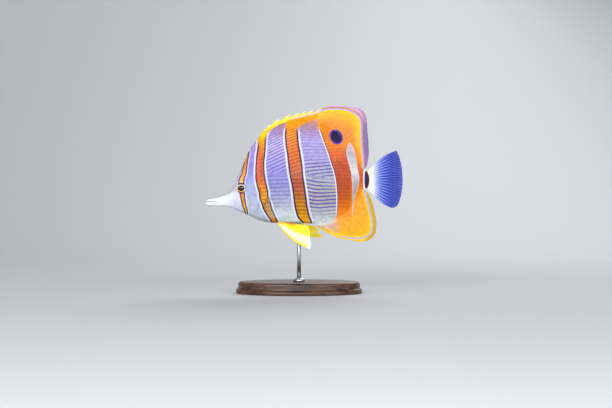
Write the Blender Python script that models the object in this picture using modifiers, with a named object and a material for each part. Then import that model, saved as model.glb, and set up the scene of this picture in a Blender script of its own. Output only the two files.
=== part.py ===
"""A copperband butterflyfish at life size, swimming, held on a plain display stand.

The fish swims towards -X and its left flank faces -Y. Its outlines are written in
150ths of its total length, around a datum line that runs level through its snout.
"""

import bmesh
import bpy
import numpy as np

# Driving dimensions, in metres
TOTAL_LENGTH = 0.150
SWIM_HEIGHT = 0.068
GAP = 0.0003
BASE_LENGTH = 0.096
BASE_DEPTH = 0.058
BASE_THICKNESS = 0.009
BASE_CENTRE_X = -0.004
ROD_RADIUS = 0.0015
ROD_SOCKET_DEPTH = 0.004
COLLAR_RADIUS = 0.0045
COLLAR_HEIGHT = 0.0025
BASE_ROUNDING = 0.0018
COLLAR_CHAMFER = 0.001

# One unit of the outlines, and the gap in those units
UNIT = TOTAL_LENGTH / 150
CLEAR = GAP / UNIT

# The body in side view without its fins: the back and the belly as (x, z)
BACK = [
    (-75.0, 3.5), (-74.2, 4.4), (-71.5, 4.6), (-68.3, 5.2), (-61.9, 6.9), (-57.6, 8.6),
    (-54.9, 10.9), (-52.8, 14.8), (-51.2, 19.6), (-48.5, 25.6), (-45.9, 31.7), (-42.7, 39.2),
    (-38.4, 45.9), (-34.6, 50.6), (-32.0, 53.4), (-26.0, 57.6), (-18.0, 60.9), (-9.0, 63.2),
    (0.0, 64.0), (8.0, 63.0), (16.0, 60.0), (24.0, 54.6), (31.0, 47.0), (37.0, 38.0),
    (41.5, 30.6), (44.8, 25.8), (46.5, 25.0), (49.0, 25.6),
]
BELLY = [
    (-75.0, -0.2), (-74.2, -1.1), (-70.0, -1.4), (-64.0, -1.6), (-58.7, -2.0), (-54.4, -3.3),
    (-50.2, -5.4), (-45.3, -7.3), (-40.5, -9.4), (-35.2, -11.9), (-29.8, -13.5), (-23.4, -14.4),
    (-15.0, -14.7), (-5.0, -14.7), (3.0, -14.9), (10.0, -15.0), (18.0, -13.8), (26.0, -10.4),
    (33.0, -5.0), (39.0, 2.5), (43.0, 8.6), (44.8, 11.4), (46.5, 12.0), (49.0, 11.4),
]
# The body's cross-section along its length, each as (x, value)
WIDEST_LEVEL = [(-75, 1.6), (-60, 2.2), (-54, 3.5), (-45, 8), (-35, 13), (-20, 18), (0, 22),
                (20, 21), (35, 18.5), (49, 18.5)]
HALF_WIDTH = [(-75, 1.5), (-74.2, 2.0), (-72, 1.95), (-66, 2.2), (-60, 3.0), (-56, 4.1), (-52, 5.4),
              (-47, 6.7), (-40, 8.0), (-33, 8.9), (-25, 9.6), (-12, 9.8), (0, 9.2), (12, 7.9),
              (24, 6.0), (34, 4.2), (41, 2.9), (45, 2.3), (49, 1.7)]
BACK_EDGE = [(-75, 0.6), (-60, 0.8), (-50, 1.0), (-32, 1.1), (0, 1.3), (30, 1.2), (45, 0.9), (49, 0.8)]
BELLY_EDGE = [(-75, 0.6), (-55, 0.9), (-40, 1.6), (-25, 2.4), (-2, 2.4), (8, 1.5), (20, 1.2),
              (45, 0.9), (49, 0.8)]
UPPER_FULLNESS = [(-60, 0.50), (-46, 0.80), (49, 0.85)]
LOWER_FULLNESS = [(-60, 0.50), (-46, 0.55), (5, 0.60), (25, 0.80), (49, 0.80)]
SECTION_POWER = [(-60, 2.0), (-46, 1.8), (49, 1.7)]

# Where the body is parted: the mouth and the gill opening as (x, z), the rest as x
MOUTH_LINE = [(-77, 2.3), (-73, 1.95), (-68, 1.6), (-60, 1.0)]
GILL_LINE = [(-41.5, -20), (-39.6, -10), (-36.6, -5), (-34.6, -1), (-34.0, 4), (-34.1, 10),
             (-34.9, 16), (-36.0, 22), (-37.2, 30), (-38.0, 38), (-38.8, 46), (-40.0, 60)]
JAW_HINGE_X = -60.5
STALK_START_X = 44.6
STALK_END_X = 49.0

# How far the blocks that part the body reach: sideways, up, down and behind its end
BLOCK_SIDE = 14
BLOCK_TOP = 70
BLOCK_FOOT = -20
BLOCK_END_X = 60

# The gill cover's front edge and its upper and lower ends, in z, and how thick it is
COVER_FRONT = [(-38.0, -7.0), (-41.6, -3.0), (-41.9, 4.0), (-41.4, 12.0), (-40.4, 18.0), (-38.0, 22.5)]
COVER_THICKNESS = 1.3
COVER_RISE = 0.3

# The eye
EYE_CENTRE = (-47.8, 11.9)
EYE_RADIUS = 3.6
EYE_DEPTH = 2.0
EYE_SUNK = 0.55
NOSTRILS = [(-53.0, 9.6), (-51.9, 10.9)]
NOSTRIL_RADIUS = 0.45
NOSTRIL_DEPTH = 1.0

# Fins: how thick their skin and rays are, how fast they thin out from the root, where the
# sides of a wide ray lie between its neighbours, and how deep the edge dips between two rays
MEMBRANE_HALF = 0.27
RAY_RISE = 0.22
SPINE_RISE = 0.45
ROOT_TAPER = 1.6
RAY_SIDES = (0.22, 0.5, 0.78)
RAY_DIP = 0.02
SPINE_DIP = 0.10

# Back fin, spiny part: where each spine grows from the back, and its tip
SPINE_ROOT_X = [-33.4, -31.8, -29.4, -25.3, -19.2, -12.8, -7.0, -1.6, 3.6]
SPINE_TIP = [(-31.9, 55.2), (-29.5, 57.8), (-26.3, 60.4), (-19.7, 64.7), (-10.5, 68.3),
             (-3.3, 69.7), (1.9, 70.9), (7.2, 71.7), (12.6, 72.7)]
SPINE_SHOULDER = 0.5
SPINE_FREE_END = 0.22
NOTCH_DEPTH = 0.30
SKIN_START = 1.2
FRONT_CORNER = (0.5, 0.7)
REAR_CORNER = (-0.9, -0.9)

# Soft fins: their stretch of the back or belly, and their outer edge as (x, z)
SOFT_BACK_ROOT = (7.2, 44.2)
SOFT_BACK_EDGE = [
    (14.4, 73.1), (19.3, 74.6), (29.0, 74.9), (36.4, 74.1), (42.9, 72.2), (46.5, 68.6),
    (47.8, 62.0), (48.2, 55.3), (49.0, 46.7), (49.2, 39.2), (48.3, 32.0), (47.2, 28.0),
]
SOFT_BACK_RAYS = 29
ANAL_ROOT = (8.0, 44.2)
ANAL_EDGE = [
    (12.0, -18.9), (17.2, -21.8), (23.6, -24.8), (30.0, -26.7), (36.4, -27.9), (43.9, -28.8),
    (49.3, -27.6), (53.0, -24.4), (54.9, -19.6), (55.1, -14.2), (54.1, -7.8), (52.5, -0.9),
    (50.3, 5.0), (48.2, 9.0),
]
ANAL_RAYS = 23
ANAL_SPINES = 3
TAIL_EDGE = [
    (70.4, 40.9), (72.4, 36.2), (73.9, 30.5), (74.7, 24.5), (75.0, 18.5), (74.7, 12.6),
    (73.8, 6.8), (72.2, 1.2), (70.2, -2.0), (66.9, -3.2),
]
TAIL_RAYS = 17
TAIL_BULGE = 2.4

# Paired fins, with half the thickness of each root
PECTORAL_ROOT = [(-27.6, 4.8), (-30.8, -1.0)]
PECTORAL_ROOT_HALF = 0.8
PECTORAL_RAYS = 14
PECTORAL_ANGLES = (2, -64)
PECTORAL_LENGTHS = [(0, 17.5), (0.25, 22.0), (0.5, 21.0), (1, 10.0)]
PECTORAL_SPREAD = 18
PELVIC_ROOT_X = (-21.0, -16.5)
PELVIC_ROOT_Y = 1.75
PELVIC_ROOT_HALF = 0.6
PELVIC_ROOT_DROP = 0.2
PELVIC_TIPS_LEFT = [(3.6, -34.3, 9.0), (5.6, -33.0, 8.8), (5.3, -29.0, 8.0), (4.7, -24.5, 7.0),
                    (4.3, -20.0, 5.6), (3.2, -16.4, 4.4)]
PELVIC_TIPS_RIGHT = [(14.2, -26.6, 9.0), (15.0, -25.2, 8.8), (12.9, -22.4, 8.0), (10.8, -19.9, 7.0),
                     (8.4, -17.6, 5.6), (5.4, -16.3, 4.4)]
PELVIC_BOW = (1.6, 2.2)

# How finely the shapes are divided
BODY_STATIONS = 56
SIDE_POINTS = 14
FIN_STEPS = 6

COLOURS = {
    "silver_scales": ((0.75, 0.74, 0.85), 0.35, 0.0),
    "white_snout": ((0.90, 0.91, 0.92), 0.35, 0.0),
    "orange_fin": ((0.98, 0.62, 0.03), 0.40, 0.0),
    "yellow_fin": ((0.99, 0.88, 0.02), 0.40, 0.0),
    "blue_tail": ((0.45, 0.50, 0.80), 0.40, 0.0),
    "clear_fin": ((0.82, 0.84, 0.88), 0.35, 0.0),
    "dark_eye": ((0.02, 0.02, 0.04), 0.08, 0.0),
    "dark_wood": ((0.16, 0.09, 0.05), 0.45, 0.0),
    "steel": ((0.62, 0.62, 0.64), 0.30, 1.0),
}


def clear_scene():
    """Removes whatever the scene holds."""
    for old in list(bpy.data.objects):
        bpy.data.objects.remove(old)


def material(name):
    """The named finish as a Principled material."""
    found = bpy.data.materials.get(name)
    if found:
        return found
    colour, roughness, metallic = COLOURS[name]
    made = bpy.data.materials.new(name)
    made.use_nodes = True
    shader = made.node_tree.nodes["Principled BSDF"]
    shader.inputs["Base Color"].default_value = (*colour, 1)
    shader.inputs["Roughness"].default_value = roughness
    shader.inputs["Metallic"].default_value = metallic
    return made


def hermite(knots, values, at):
    """A smooth line through the values that doesn't overshoot between them."""
    step = np.diff(knots)
    slope = np.diff(values) / step
    same_way = slope[:-1] * slope[1:] > 0
    total = np.where(same_way, slope[:-1] + slope[1:], 1.0)
    inner = np.where(same_way, 2 * slope[:-1] * slope[1:] / total, 0.0)
    tangent = np.concatenate([slope[:1], inner, slope[-1:]])
    i = np.clip(np.searchsorted(knots, at, side="right") - 1, 0, len(step) - 1)
    t = (at - knots[i]) / step[i]
    return (
        values[i] * (1 + 2 * t) * (1 - t) ** 2
        + values[i + 1] * t**2 * (3 - 2 * t)
        + step[i] * t * (1 - t) * (tangent[i] * (1 - t) - tangent[i + 1] * t)
    )


def profile(points, at):
    """The value at x of a smooth line given as (x, value) pairs, held level past its ends."""
    knots, values = np.array(points, float).T
    return hermite(knots, values, np.clip(np.asarray(at, float), knots[0], knots[-1]))


def along(points, share):
    """Points on a smooth path, at these shares of its length."""
    path = np.array(points, float)
    length = np.concatenate([[0], np.cumsum(np.linalg.norm(np.diff(path, axis=0), axis=1))])
    at = np.asarray(share, float) * length[-1]
    return np.stack([hermite(length, path[:, k], at) for k in range(path.shape[1])], axis=-1)


def flank(x, z):
    """Half the body's thickness at a place of its side view, lens-shaped from belly to back."""
    x, z = np.broadcast_arrays(np.asarray(x, float), np.asarray(z, float))
    level = profile(WIDEST_LEVEL, x)
    above = z >= level
    reach = np.where(above, profile(BACK, x) - level, level - profile(BELLY, x))
    share = np.clip(np.abs(z - level) / reach, 0, 1)
    edge = np.where(above, profile(BACK_EDGE, x), profile(BELLY_EDGE, x))
    fullness = np.where(above, profile(UPPER_FULLNESS, x), profile(LOWER_FULLNESS, x))
    swell = (1 - share ** profile(SECTION_POWER, x)) ** fullness
    return edge + (profile(HALF_WIDTH, x) - edge) * swell


def new_object(name, mesh_data, finish, parent=None, helper=False):
    """An object of this mesh in the part's collection, or in the cutters' if it is a helper."""
    mesh = bpy.data.meshes.new(name)
    mesh_data.to_mesh(mesh)
    mesh_data.free()
    obj = bpy.data.objects.new(name, mesh)
    collections["cutters" if helper else "part"].objects.link(obj)
    obj.parent = parent
    if helper:
        obj.hide_render = True
        obj.display_type = "WIRE"
    else:
        mesh.materials.append(material(finish))
        mesh.shade_smooth()
        mesh.set_sharp_from_angle(angle=np.radians(40))
    return obj


def face_outward(made):
    """Turns every face of a closed shape to face out."""
    made.normal_update()
    bmesh.ops.recalc_face_normals(made, faces=made.faces)


def closed_sheet(near, far):
    """A closed body between two grids of points, split into triangles alike on both faces."""
    rows, columns = near.shape[:2]
    made = bmesh.new()
    grids = []
    for points in (near, far):
        flat = [made.verts.new(p * UNIT) for p in points.reshape(-1, 3)]
        grids.append([flat[i * columns:(i + 1) * columns] for i in range(rows)])
    first, second = grids
    for i in range(rows - 1):
        for j in range(columns - 1):
            for grid in grids:
                a, b, c, d = grid[i][j], grid[i + 1][j], grid[i + 1][j + 1], grid[i][j + 1]
                made.faces.new((a, b, c))
                made.faces.new((a, c, d))
    rim = [(i, 0) for i in range(rows)]
    rim += [(rows - 1, j) for j in range(1, columns)]
    rim += [(i, columns - 1) for i in range(rows - 2, -1, -1)]
    rim += [(0, j) for j in range(columns - 2, 0, -1)]
    for (i, j), (k, m) in zip(rim, rim[1:] + rim[:1]):
        made.faces.new((first[i][j], first[k][m], second[k][m], second[i][j]))
    face_outward(made)
    return made


def body_stations():
    """Places along the body, closer together where its outline is steep."""
    fine = np.linspace(BACK[0][0], STALK_END_X, 800)
    climb = np.gradient(profile(BACK, fine), fine), np.gradient(profile(BELLY, fine), fine)
    pace = np.sqrt(1 + np.clip(climb[0] ** 2 + climb[1] ** 2, 0, 6))
    length = np.concatenate([[0], np.cumsum(pace[1:] * np.diff(fine))])
    return np.interp(np.linspace(0, length[-1], BODY_STATIONS), length, fine)


def whole_body():
    """The body from snout to tail stalk as one loft of lens-shaped sections."""
    made = bmesh.new()
    rings = []
    share = (1 - np.cos(np.linspace(0, np.pi, SIDE_POINTS))) / 2
    for x in body_stations():
        z = profile(BELLY, x) + share * (profile(BACK, x) - profile(BELLY, x))
        y = flank(x, z)
        left = [(x, -half, height) for half, height in zip(y, z)]
        right = [(x, half, height) for half, height in zip(y[::-1], z[::-1])]
        rings.append([made.verts.new(np.array(p) * UNIT) for p in left + right])
    for ring, following in zip(rings, rings[1:]):
        for i in range(len(ring)):
            k = (i + 1) % len(ring)
            made.faces.new((ring[i], ring[k], following[k], following[i]))
    made.faces.new(rings[0][::-1])
    made.faces.new(rings[-1])
    face_outward(made)
    return made


def region(name, outline, parent):
    """A helper block that covers this outline of the side view, right through the body."""
    made = bmesh.new()
    reach = BLOCK_SIDE * UNIT
    face = made.faces.new([made.verts.new((x * UNIT, -reach, z * UNIT)) for x, z in outline])
    grown = bmesh.ops.extrude_face_region(made, geom=[face])
    moved = [v for v in grown["geom"] if isinstance(v, bmesh.types.BMVert)]
    bmesh.ops.translate(made, verts=moved, vec=(0, 2 * reach, 0))
    face_outward(made)
    return new_object(name, made, None, parent, helper=True)


def boolean(obj, operation, cutter):
    """A live Boolean on this object, with one helper."""
    modifier = obj.modifiers.new(operation.lower() + "_" + cutter.name, "BOOLEAN")
    modifier.operation = operation
    modifier.solver = "EXACT"
    modifier.object = cutter


def body_part(name, outline, finish, parent):
    """The piece of the body inside this outline of the side view."""
    part = new_object(name, whole_body(), finish, parent)
    boolean(part, "INTERSECT", region(name + "_region", outline, parent))
    return part


def gill_points(offset):
    """The gill opening's line, moved back by the offset."""
    return [(x + offset, z) for x, z in along(GILL_LINE, np.linspace(0, 1, 22))]


def make_jaws(parent):
    """The upper and lower halves of the long snout, parted along the mouth."""
    back = JAW_HINGE_X - CLEAR / 2
    line = [(x, z) for x, z in along(MOUTH_LINE, np.linspace(0, 1, 8)) if x < back]
    end = (back, float(profile(MOUTH_LINE, back)))
    upper = [(x, z + CLEAR / 2) for x, z in line + [end]]
    lower = [(x, z - CLEAR / 2) for x, z in line + [end]]
    front = MOUTH_LINE[0][0]
    upper += [(back, BLOCK_TOP), (front, BLOCK_TOP)]
    lower += [(back, BLOCK_FOOT), (front, BLOCK_FOOT)]
    body_part("upper_jaw", upper, "white_snout", parent)
    body_part("lower_jaw", lower, "white_snout", parent)


def make_head(parent):
    """The head, with a socket for each eye, a pocket for each gill cover, and nostrils."""
    front = JAW_HINGE_X + CLEAR / 2
    rear = gill_points(-CLEAR / 2)
    outline = [(front, BLOCK_FOOT), *rear, (front, BLOCK_TOP)]
    head = body_part("head", outline, "silver_scales", parent)
    for side, word in ((-1, "left"), (1, "right")):
        boolean(head, "DIFFERENCE", eyeball("eye_socket_" + word, side, CLEAR, parent))
        boolean(head, "DIFFERENCE", gill_plate("gill_pocket_" + word, side, CLEAR, parent))
        for number, place in enumerate(NOSTRILS, 1):
            pit = nostril_pit(f"nostril_{number}_{word}", side, place, parent)
            boolean(head, "DIFFERENCE", pit)


def make_trunk(parent):
    """The body from the gill opening to the tail stalk."""
    back = STALK_START_X - CLEAR / 2
    outline = [*gill_points(CLEAR / 2), (back, BLOCK_TOP), (back, BLOCK_FOOT)]
    body_part("trunk", outline, "silver_scales", parent)


def make_tail_stalk(parent):
    """The short, slim end of the body that carries the tail fin."""
    front = STALK_START_X + CLEAR / 2
    outline = [(front, BLOCK_FOOT), (front, BLOCK_TOP), (BLOCK_END_X, BLOCK_TOP), (BLOCK_END_X, BLOCK_FOOT)]
    body_part("tail_stalk", outline, "silver_scales", parent)


def eyeball(name, side, grown, parent):
    """The flattened ball of an eye, or with it grown, the socket that it sits in."""
    x, z = EYE_CENTRE
    surface = float(flank(x, z))
    made = bmesh.new()
    bmesh.ops.create_uvsphere(made, u_segments=20, v_segments=10, radius=1)
    for v in made.verts:
        east, north, out = v.co
        v.co = (
            (x + east * (EYE_RADIUS + grown)) * UNIT,
            side * (surface - EYE_SUNK + out * (EYE_DEPTH + grown)) * UNIT,
            (z + north * (EYE_RADIUS + grown)) * UNIT,
        )
    face_outward(made)
    return new_object(name, made, "dark_eye", parent, helper=grown > 0)


def nostril_pit(name, side, place, parent):
    """A helper that sinks one nostril into the head."""
    x, z = place
    made = bmesh.new()
    bmesh.ops.create_cone(
        made, cap_ends=True, segments=8, depth=2 * NOSTRIL_DEPTH * UNIT,
        radius1=NOSTRIL_RADIUS * UNIT, radius2=NOSTRIL_RADIUS * UNIT,
    )
    surface = float(flank(x, z))
    for v in made.verts:
        v.co = (v.co.x + x * UNIT, v.co.z + side * surface * UNIT, v.co.y + z * UNIT)
    face_outward(made)
    return new_object(name, made, None, parent, helper=True)


def gill_plate(name, side, grown, parent):
    """A gill cover, a plate that follows the cheek, or with it grown, the pocket it lies in."""
    share = np.linspace(0, 1, 9)
    front = along(COVER_FRONT, share)
    low, high = COVER_FRONT[0][1], COVER_FRONT[-1][1]
    height = np.linspace(low - grown, high + grown, len(share))
    gill = np.array(GILL_LINE)
    rear_x = hermite(gill[:, 1], gill[:, 0], height) - CLEAR / 2 - CLEAR + 3 * grown
    front_x = np.interp(height, front[:, 1], front[:, 0]) - grown
    across = np.linspace(0, 1, 5)[:, None]
    x = front_x + (rear_x - front_x) * across
    z = np.broadcast_to(height, x.shape)
    skin = flank(x, z)
    rise = COVER_RISE * np.sin(np.pi * np.clip(across * 0.75 + 0.1, 0, 1)) + 4 * grown
    inner = skin - COVER_THICKNESS - grown
    near = np.stack([x, side * (skin + rise), z], axis=-1)
    far = np.stack([x, side * inner, z], axis=-1)
    return new_object(name, closed_sheet(near, far), "silver_scales", parent, helper=grown > 0)


def ray_columns(count, flat_between=False):
    """Shares across a fin where its rays and the skin between them lie, and how far each rises."""
    if not flat_between:
        share = np.arange(2 * count + 1) / (2 * count)
        return share, np.arange(2 * count + 1) % 2.0
    inner = [(i + offset) / count for i in range(count) for offset in RAY_SIDES]
    return np.array([0, *inner, 1]), np.array([0, *([0, 1, 0] * count), 0.0])


def fin_grids(roots, tips, root_half, rise, sideways, bulge=None):
    """Both faces of a fin: straight or bowed rays from roots to tips, thick at the root."""
    out = np.linspace(0, 1, FIN_STEPS + 1)
    middle = roots[:, None] + (tips - roots)[:, None] * out[None, :, None]
    if bulge is not None:
        middle = middle + bulge[:, None] * np.sin(np.pi * out)[None, :, None]
    half = MEMBRANE_HALF + (root_half[:, None] - MEMBRANE_HALF) * (1 - out) ** ROOT_TAPER
    half = half + rise[:, None] * np.sin(np.pi * np.clip(0.12 + 0.8 * out, 0, 1))
    offset = half[..., None] * sideways
    return middle - offset, middle + offset


def with_y(points, y=0.0):
    """Side-view points (x, z) as points in space."""
    return np.stack([points[:, 0], np.full(len(points), y), points[:, 1]], axis=-1)


def off_body(outline, x, above):
    """Points on the back or belly at x, moved off it by the gap."""
    step = 0.05
    z = profile(outline, x)
    slope = (profile(outline, x + step) - profile(outline, x - step)) / (2 * step)
    normal = np.stack([-slope, np.ones_like(slope)], axis=-1)
    normal *= (1 if above else -1) / np.linalg.norm(normal, axis=-1, keepdims=True)
    return np.stack([x, z], axis=-1) + normal * CLEAR


def even_roots(outline, stretch, share, above):
    """Points off the back or belly along a stretch of it, at these shares of its length."""
    fine = np.linspace(*stretch, 200)
    step = np.hypot(np.diff(fine), np.diff(profile(outline, fine)))
    length = np.concatenate([[0], np.cumsum(step)])
    x = np.interp(share * length[-1], length, fine)
    return off_body(outline, x, above)


MIDDLE = np.array([0.0, 1.0, 0.0])


def make_spiny_fin(parent):
    """The front of the back fin: nine leaning spines with the skin notched between them."""
    roots_x, tips, rise = [SPINE_ROOT_X[0] - SKIN_START], [], [0.0]
    spine_tips = np.array(SPINE_TIP)
    first_root = np.array([roots_x[0], float(profile(BACK, roots_x[0]))])
    tips.append(first_root + FRONT_CORNER)
    for i, (x, tip) in enumerate(zip(SPINE_ROOT_X, spine_tips)):
        root = np.array([x, float(profile(BACK, x))])
        shoulder = tip + (root - tip) * SPINE_FREE_END
        width = SPINE_SHOULDER * (tip - root)[::-1] * [1, -1] / np.linalg.norm(tip - root)
        roots_x += [x - SPINE_SHOULDER, x, x + SPINE_SHOULDER]
        tips += [shoulder - width * 0.6, tip, shoulder + width * 0.6]
        rise += [0.0, SPINE_RISE, 0.0]
        if i + 1 < len(SPINE_ROOT_X):
            following = np.array([SPINE_ROOT_X[i + 1], float(profile(BACK, SPINE_ROOT_X[i + 1]))])
            foot = (root + following) / 2
            crest = (tip + spine_tips[i + 1]) / 2
            roots_x.append(foot[0])
            tips.append(crest + (foot - crest) * NOTCH_DEPTH)
            rise.append(0.0)
    last_x = SOFT_BACK_ROOT[0] - CLEAR
    roots_x.append(last_x)
    soft_start = np.array(SOFT_BACK_EDGE[0])
    tips.append(soft_start + REAR_CORNER)
    rise.append(0.0)
    roots_x = np.array(roots_x)
    roots = with_y(off_body(BACK, roots_x, True))
    edge = profile(BACK_EDGE, roots_x)
    grids = fin_grids(roots, with_y(np.array(tips)), edge, np.array(rise), MIDDLE)
    new_object("spiny_back_fin", closed_sheet(*grids), "yellow_fin", parent)


def make_median_fin(name, outline, edges, stretch, outer, rays, pace, finish, parent, spines=0):
    """A soft fin along the back or belly, its edge scalloped between the rays.

    The pace spreads the tips: under 1, they stand wider apart at the fin's front.
    """
    share, ridge = ray_columns(rays)
    above = outline is BACK
    roots = even_roots(outline, stretch, share, above)
    tips = along(outer, share**pace)
    dip = np.where(share * rays < spines, SPINE_DIP, RAY_DIP)
    shorter = np.where(ridge > 0, 0.0, dip)
    tips = tips + (roots - tips) * shorter[:, None]
    rise = ridge * np.where(share * rays < spines, SPINE_RISE, RAY_RISE)
    root_half = profile(edges, roots[:, 0])
    grids = fin_grids(with_y(roots), with_y(tips), root_half, rise, MIDDLE)
    new_object(name, closed_sheet(*grids), finish, parent)


def make_tail_fin(parent):
    """The tail fin, a fan of rays from the end of the tail stalk."""
    share, ridge = ray_columns(TAIL_RAYS, flat_between=True)
    top, bottom = float(profile(BACK, STALK_END_X)), float(profile(BELLY, STALK_END_X))
    z = top + (bottom - top) * (0.01 + 0.98 * share)
    roots = np.stack([np.full_like(z, STALK_END_X + CLEAR), z], axis=-1)
    tips = along(TAIL_EDGE, share)
    away = (1 - 2 * share) * TAIL_BULGE
    bulge = with_y(np.stack([np.zeros_like(away), away], axis=-1))
    grids = fin_grids(
        with_y(roots), with_y(tips), flank(STALK_END_X, z), ridge * RAY_RISE, MIDDLE, bulge
    )
    new_object("tail_fin", closed_sheet(*grids), "blue_tail", parent)


def make_pectoral_fin(side, word, parent):
    """A fin behind the gill cover, a clear fan laid back beside the flank."""
    share, ridge = ray_columns(PECTORAL_RAYS)
    foot = along(PECTORAL_ROOT, share)
    angle = np.radians(PECTORAL_ANGLES[0] + (PECTORAL_ANGLES[1] - PECTORAL_ANGLES[0]) * share)
    length = profile(PECTORAL_LENGTHS, share)
    outward = np.sin(np.radians(PECTORAL_SPREAD)) * length
    reach = np.cos(np.radians(PECTORAL_SPREAD)) * length
    y = flank(foot[:, 0], foot[:, 1]) + CLEAR + PECTORAL_ROOT_HALF
    roots = np.stack([foot[:, 0], side * y, foot[:, 1]], axis=-1)
    step = np.stack([reach * np.cos(angle), side * outward, reach * np.sin(angle)], axis=-1)
    sideways = np.array([-np.sin(np.radians(PECTORAL_SPREAD)) * 0.6, side, 0.0])
    sideways /= np.linalg.norm(sideways)
    root_half = np.full_like(share, PECTORAL_ROOT_HALF)
    grids = fin_grids(roots, roots + step, root_half, ridge * RAY_RISE, sideways)
    new_object("pectoral_fin_" + word, closed_sheet(*grids), "clear_fin", parent)


def make_pelvic_fin(side, word, tip_points, parent):
    """A long fin under the chest, a stout spine in front and five rays behind it."""
    share, ridge = ray_columns(len(tip_points), flat_between=True)
    x = PELVIC_ROOT_X[0] + (PELVIC_ROOT_X[1] - PELVIC_ROOT_X[0]) * share
    z = profile(BELLY, x) - CLEAR - PELVIC_ROOT_DROP
    roots = np.stack([x, np.full_like(x, side * PELVIC_ROOT_Y), z], axis=-1)
    tip_x, tip_z, tip_y = along(tip_points, share).T
    tips = np.stack([tip_x, side * tip_y, tip_z], axis=-1)
    sag = np.sin(np.pi * share * 0.5 + np.pi / 2)
    bulge = np.stack([-PELVIC_BOW[0] * sag, 0 * sag, -PELVIC_BOW[1] * sag], axis=-1)
    across = np.cross(tips[0] - roots[0], roots[-1] - roots[0])
    sideways = across / np.linalg.norm(across)
    rise = ridge * np.where(share * len(tip_points) < 1, SPINE_RISE, RAY_RISE)
    grids = fin_grids(roots, tips, np.full_like(x, PELVIC_ROOT_HALF), rise, sideways, bulge)
    new_object("pelvic_fin_" + word, closed_sheet(*grids), "yellow_fin", parent)


def cylinder(name, radius, bottom, top, x, finish, segments, helper=False):
    """An upright cylinder, as a primitive."""
    made = bmesh.new()
    bmesh.ops.create_cone(
        made, cap_ends=True, segments=segments, radius1=radius, radius2=radius, depth=top - bottom
    )
    bmesh.ops.translate(made, verts=made.verts, vec=(x, 0, (top + bottom) / 2))
    return new_object(name, made, finish, helper=helper)


def make_stand():
    """A flat oval base and a short rod up to the belly, with a collar where the rod enters."""
    made = bmesh.new()
    bmesh.ops.create_cone(
        made, cap_ends=True, segments=48, radius1=0.5, radius2=0.5, depth=BASE_THICKNESS
    )
    bmesh.ops.scale(made, verts=made.verts, vec=(BASE_LENGTH, BASE_DEPTH, 1))
    bmesh.ops.translate(made, verts=made.verts, vec=(BASE_CENTRE_X, 0, BASE_THICKNESS / 2))
    base = new_object("stand_base", made, "dark_wood")
    bevel = base.modifiers.new("rounded_rim", "BEVEL")
    bevel.width = BASE_ROUNDING
    bevel.segments = 2
    bevel.limit_method = "ANGLE"
    foot = BASE_THICKNESS - ROD_SOCKET_DEPTH
    socket = cylinder(
        "rod_socket", ROD_RADIUS + GAP, foot, BASE_THICKNESS + GAP, BASE_CENTRE_X, None, 16, helper=True
    )
    boolean(base, "DIFFERENCE", socket)
    belly = SWIM_HEIGHT + float(profile(BELLY, BASE_CENTRE_X / UNIT)) * UNIT
    cylinder("stand_rod", ROD_RADIUS, foot + GAP, belly - GAP, BASE_CENTRE_X, "steel", 16)
    make_collar()


def make_collar():
    """A turned ring round the foot of the rod."""
    inner = ROD_RADIUS + GAP
    low = BASE_THICKNESS + GAP
    high = low + COLLAR_HEIGHT
    corners = [
        (inner, high), (COLLAR_RADIUS - COLLAR_CHAMFER, high),
        (COLLAR_RADIUS, high - COLLAR_CHAMFER),
        (COLLAR_RADIUS, low), (inner, low),
    ]
    made = bmesh.new()
    ring = [made.verts.new((x, 0, z)) for x, z in corners]
    for a, b in zip(ring, ring[1:] + ring[:1]):
        made.edges.new((a, b))
    collar = new_object("stand_collar", made, "steel")
    collar.location = (BASE_CENTRE_X, 0, 0)
    screw = collar.modifiers.new("turned", "SCREW")
    screw.steps = screw.render_steps = 24
    screw.use_merge_vertices = True
    screw.merge_threshold = 0.00001
    screw.use_normal_calculate = True


clear_scene()
collections = {name: bpy.data.collections.new(name) for name in ("part", "cutters")}
for collection in collections.values():
    bpy.context.scene.collection.children.link(collection)
fish = bpy.data.objects.new("fish", None)
fish.location = (0, 0, SWIM_HEIGHT)
collections["part"].objects.link(fish)
bpy.context.view_layer.update()

make_jaws(fish)
make_head(fish)
make_trunk(fish)
make_tail_stalk(fish)
make_spiny_fin(fish)
make_median_fin("soft_back_fin", BACK, BACK_EDGE, SOFT_BACK_ROOT, SOFT_BACK_EDGE, SOFT_BACK_RAYS,
                0.80, "orange_fin", fish)
make_median_fin("anal_fin", BELLY, BELLY_EDGE, ANAL_ROOT, ANAL_EDGE, ANAL_RAYS,
                0.85, "orange_fin", fish, spines=ANAL_SPINES)
make_tail_fin(fish)
for side, word, pelvic_tips in ((-1, "left", PELVIC_TIPS_LEFT), (1, "right", PELVIC_TIPS_RIGHT)):
    eyeball("eye_" + word, side, 0, fish)
    gill_plate("gill_cover_" + word, side, 0, fish)
    make_pectoral_fin(side, word, fish)
    make_pelvic_fin(side, word, pelvic_tips, fish)
make_stand()
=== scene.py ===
# %% [markdown]
# A copperband butterflyfish at life size, on a plain display stand. The solids that the fish is built on
# are loaded first and stay where they are. Every new piece is worked out around them: one skin for the
# head, trunk and tail stalk, scales laid over it in rows, rayed fins, eyes, and the stand.

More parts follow.
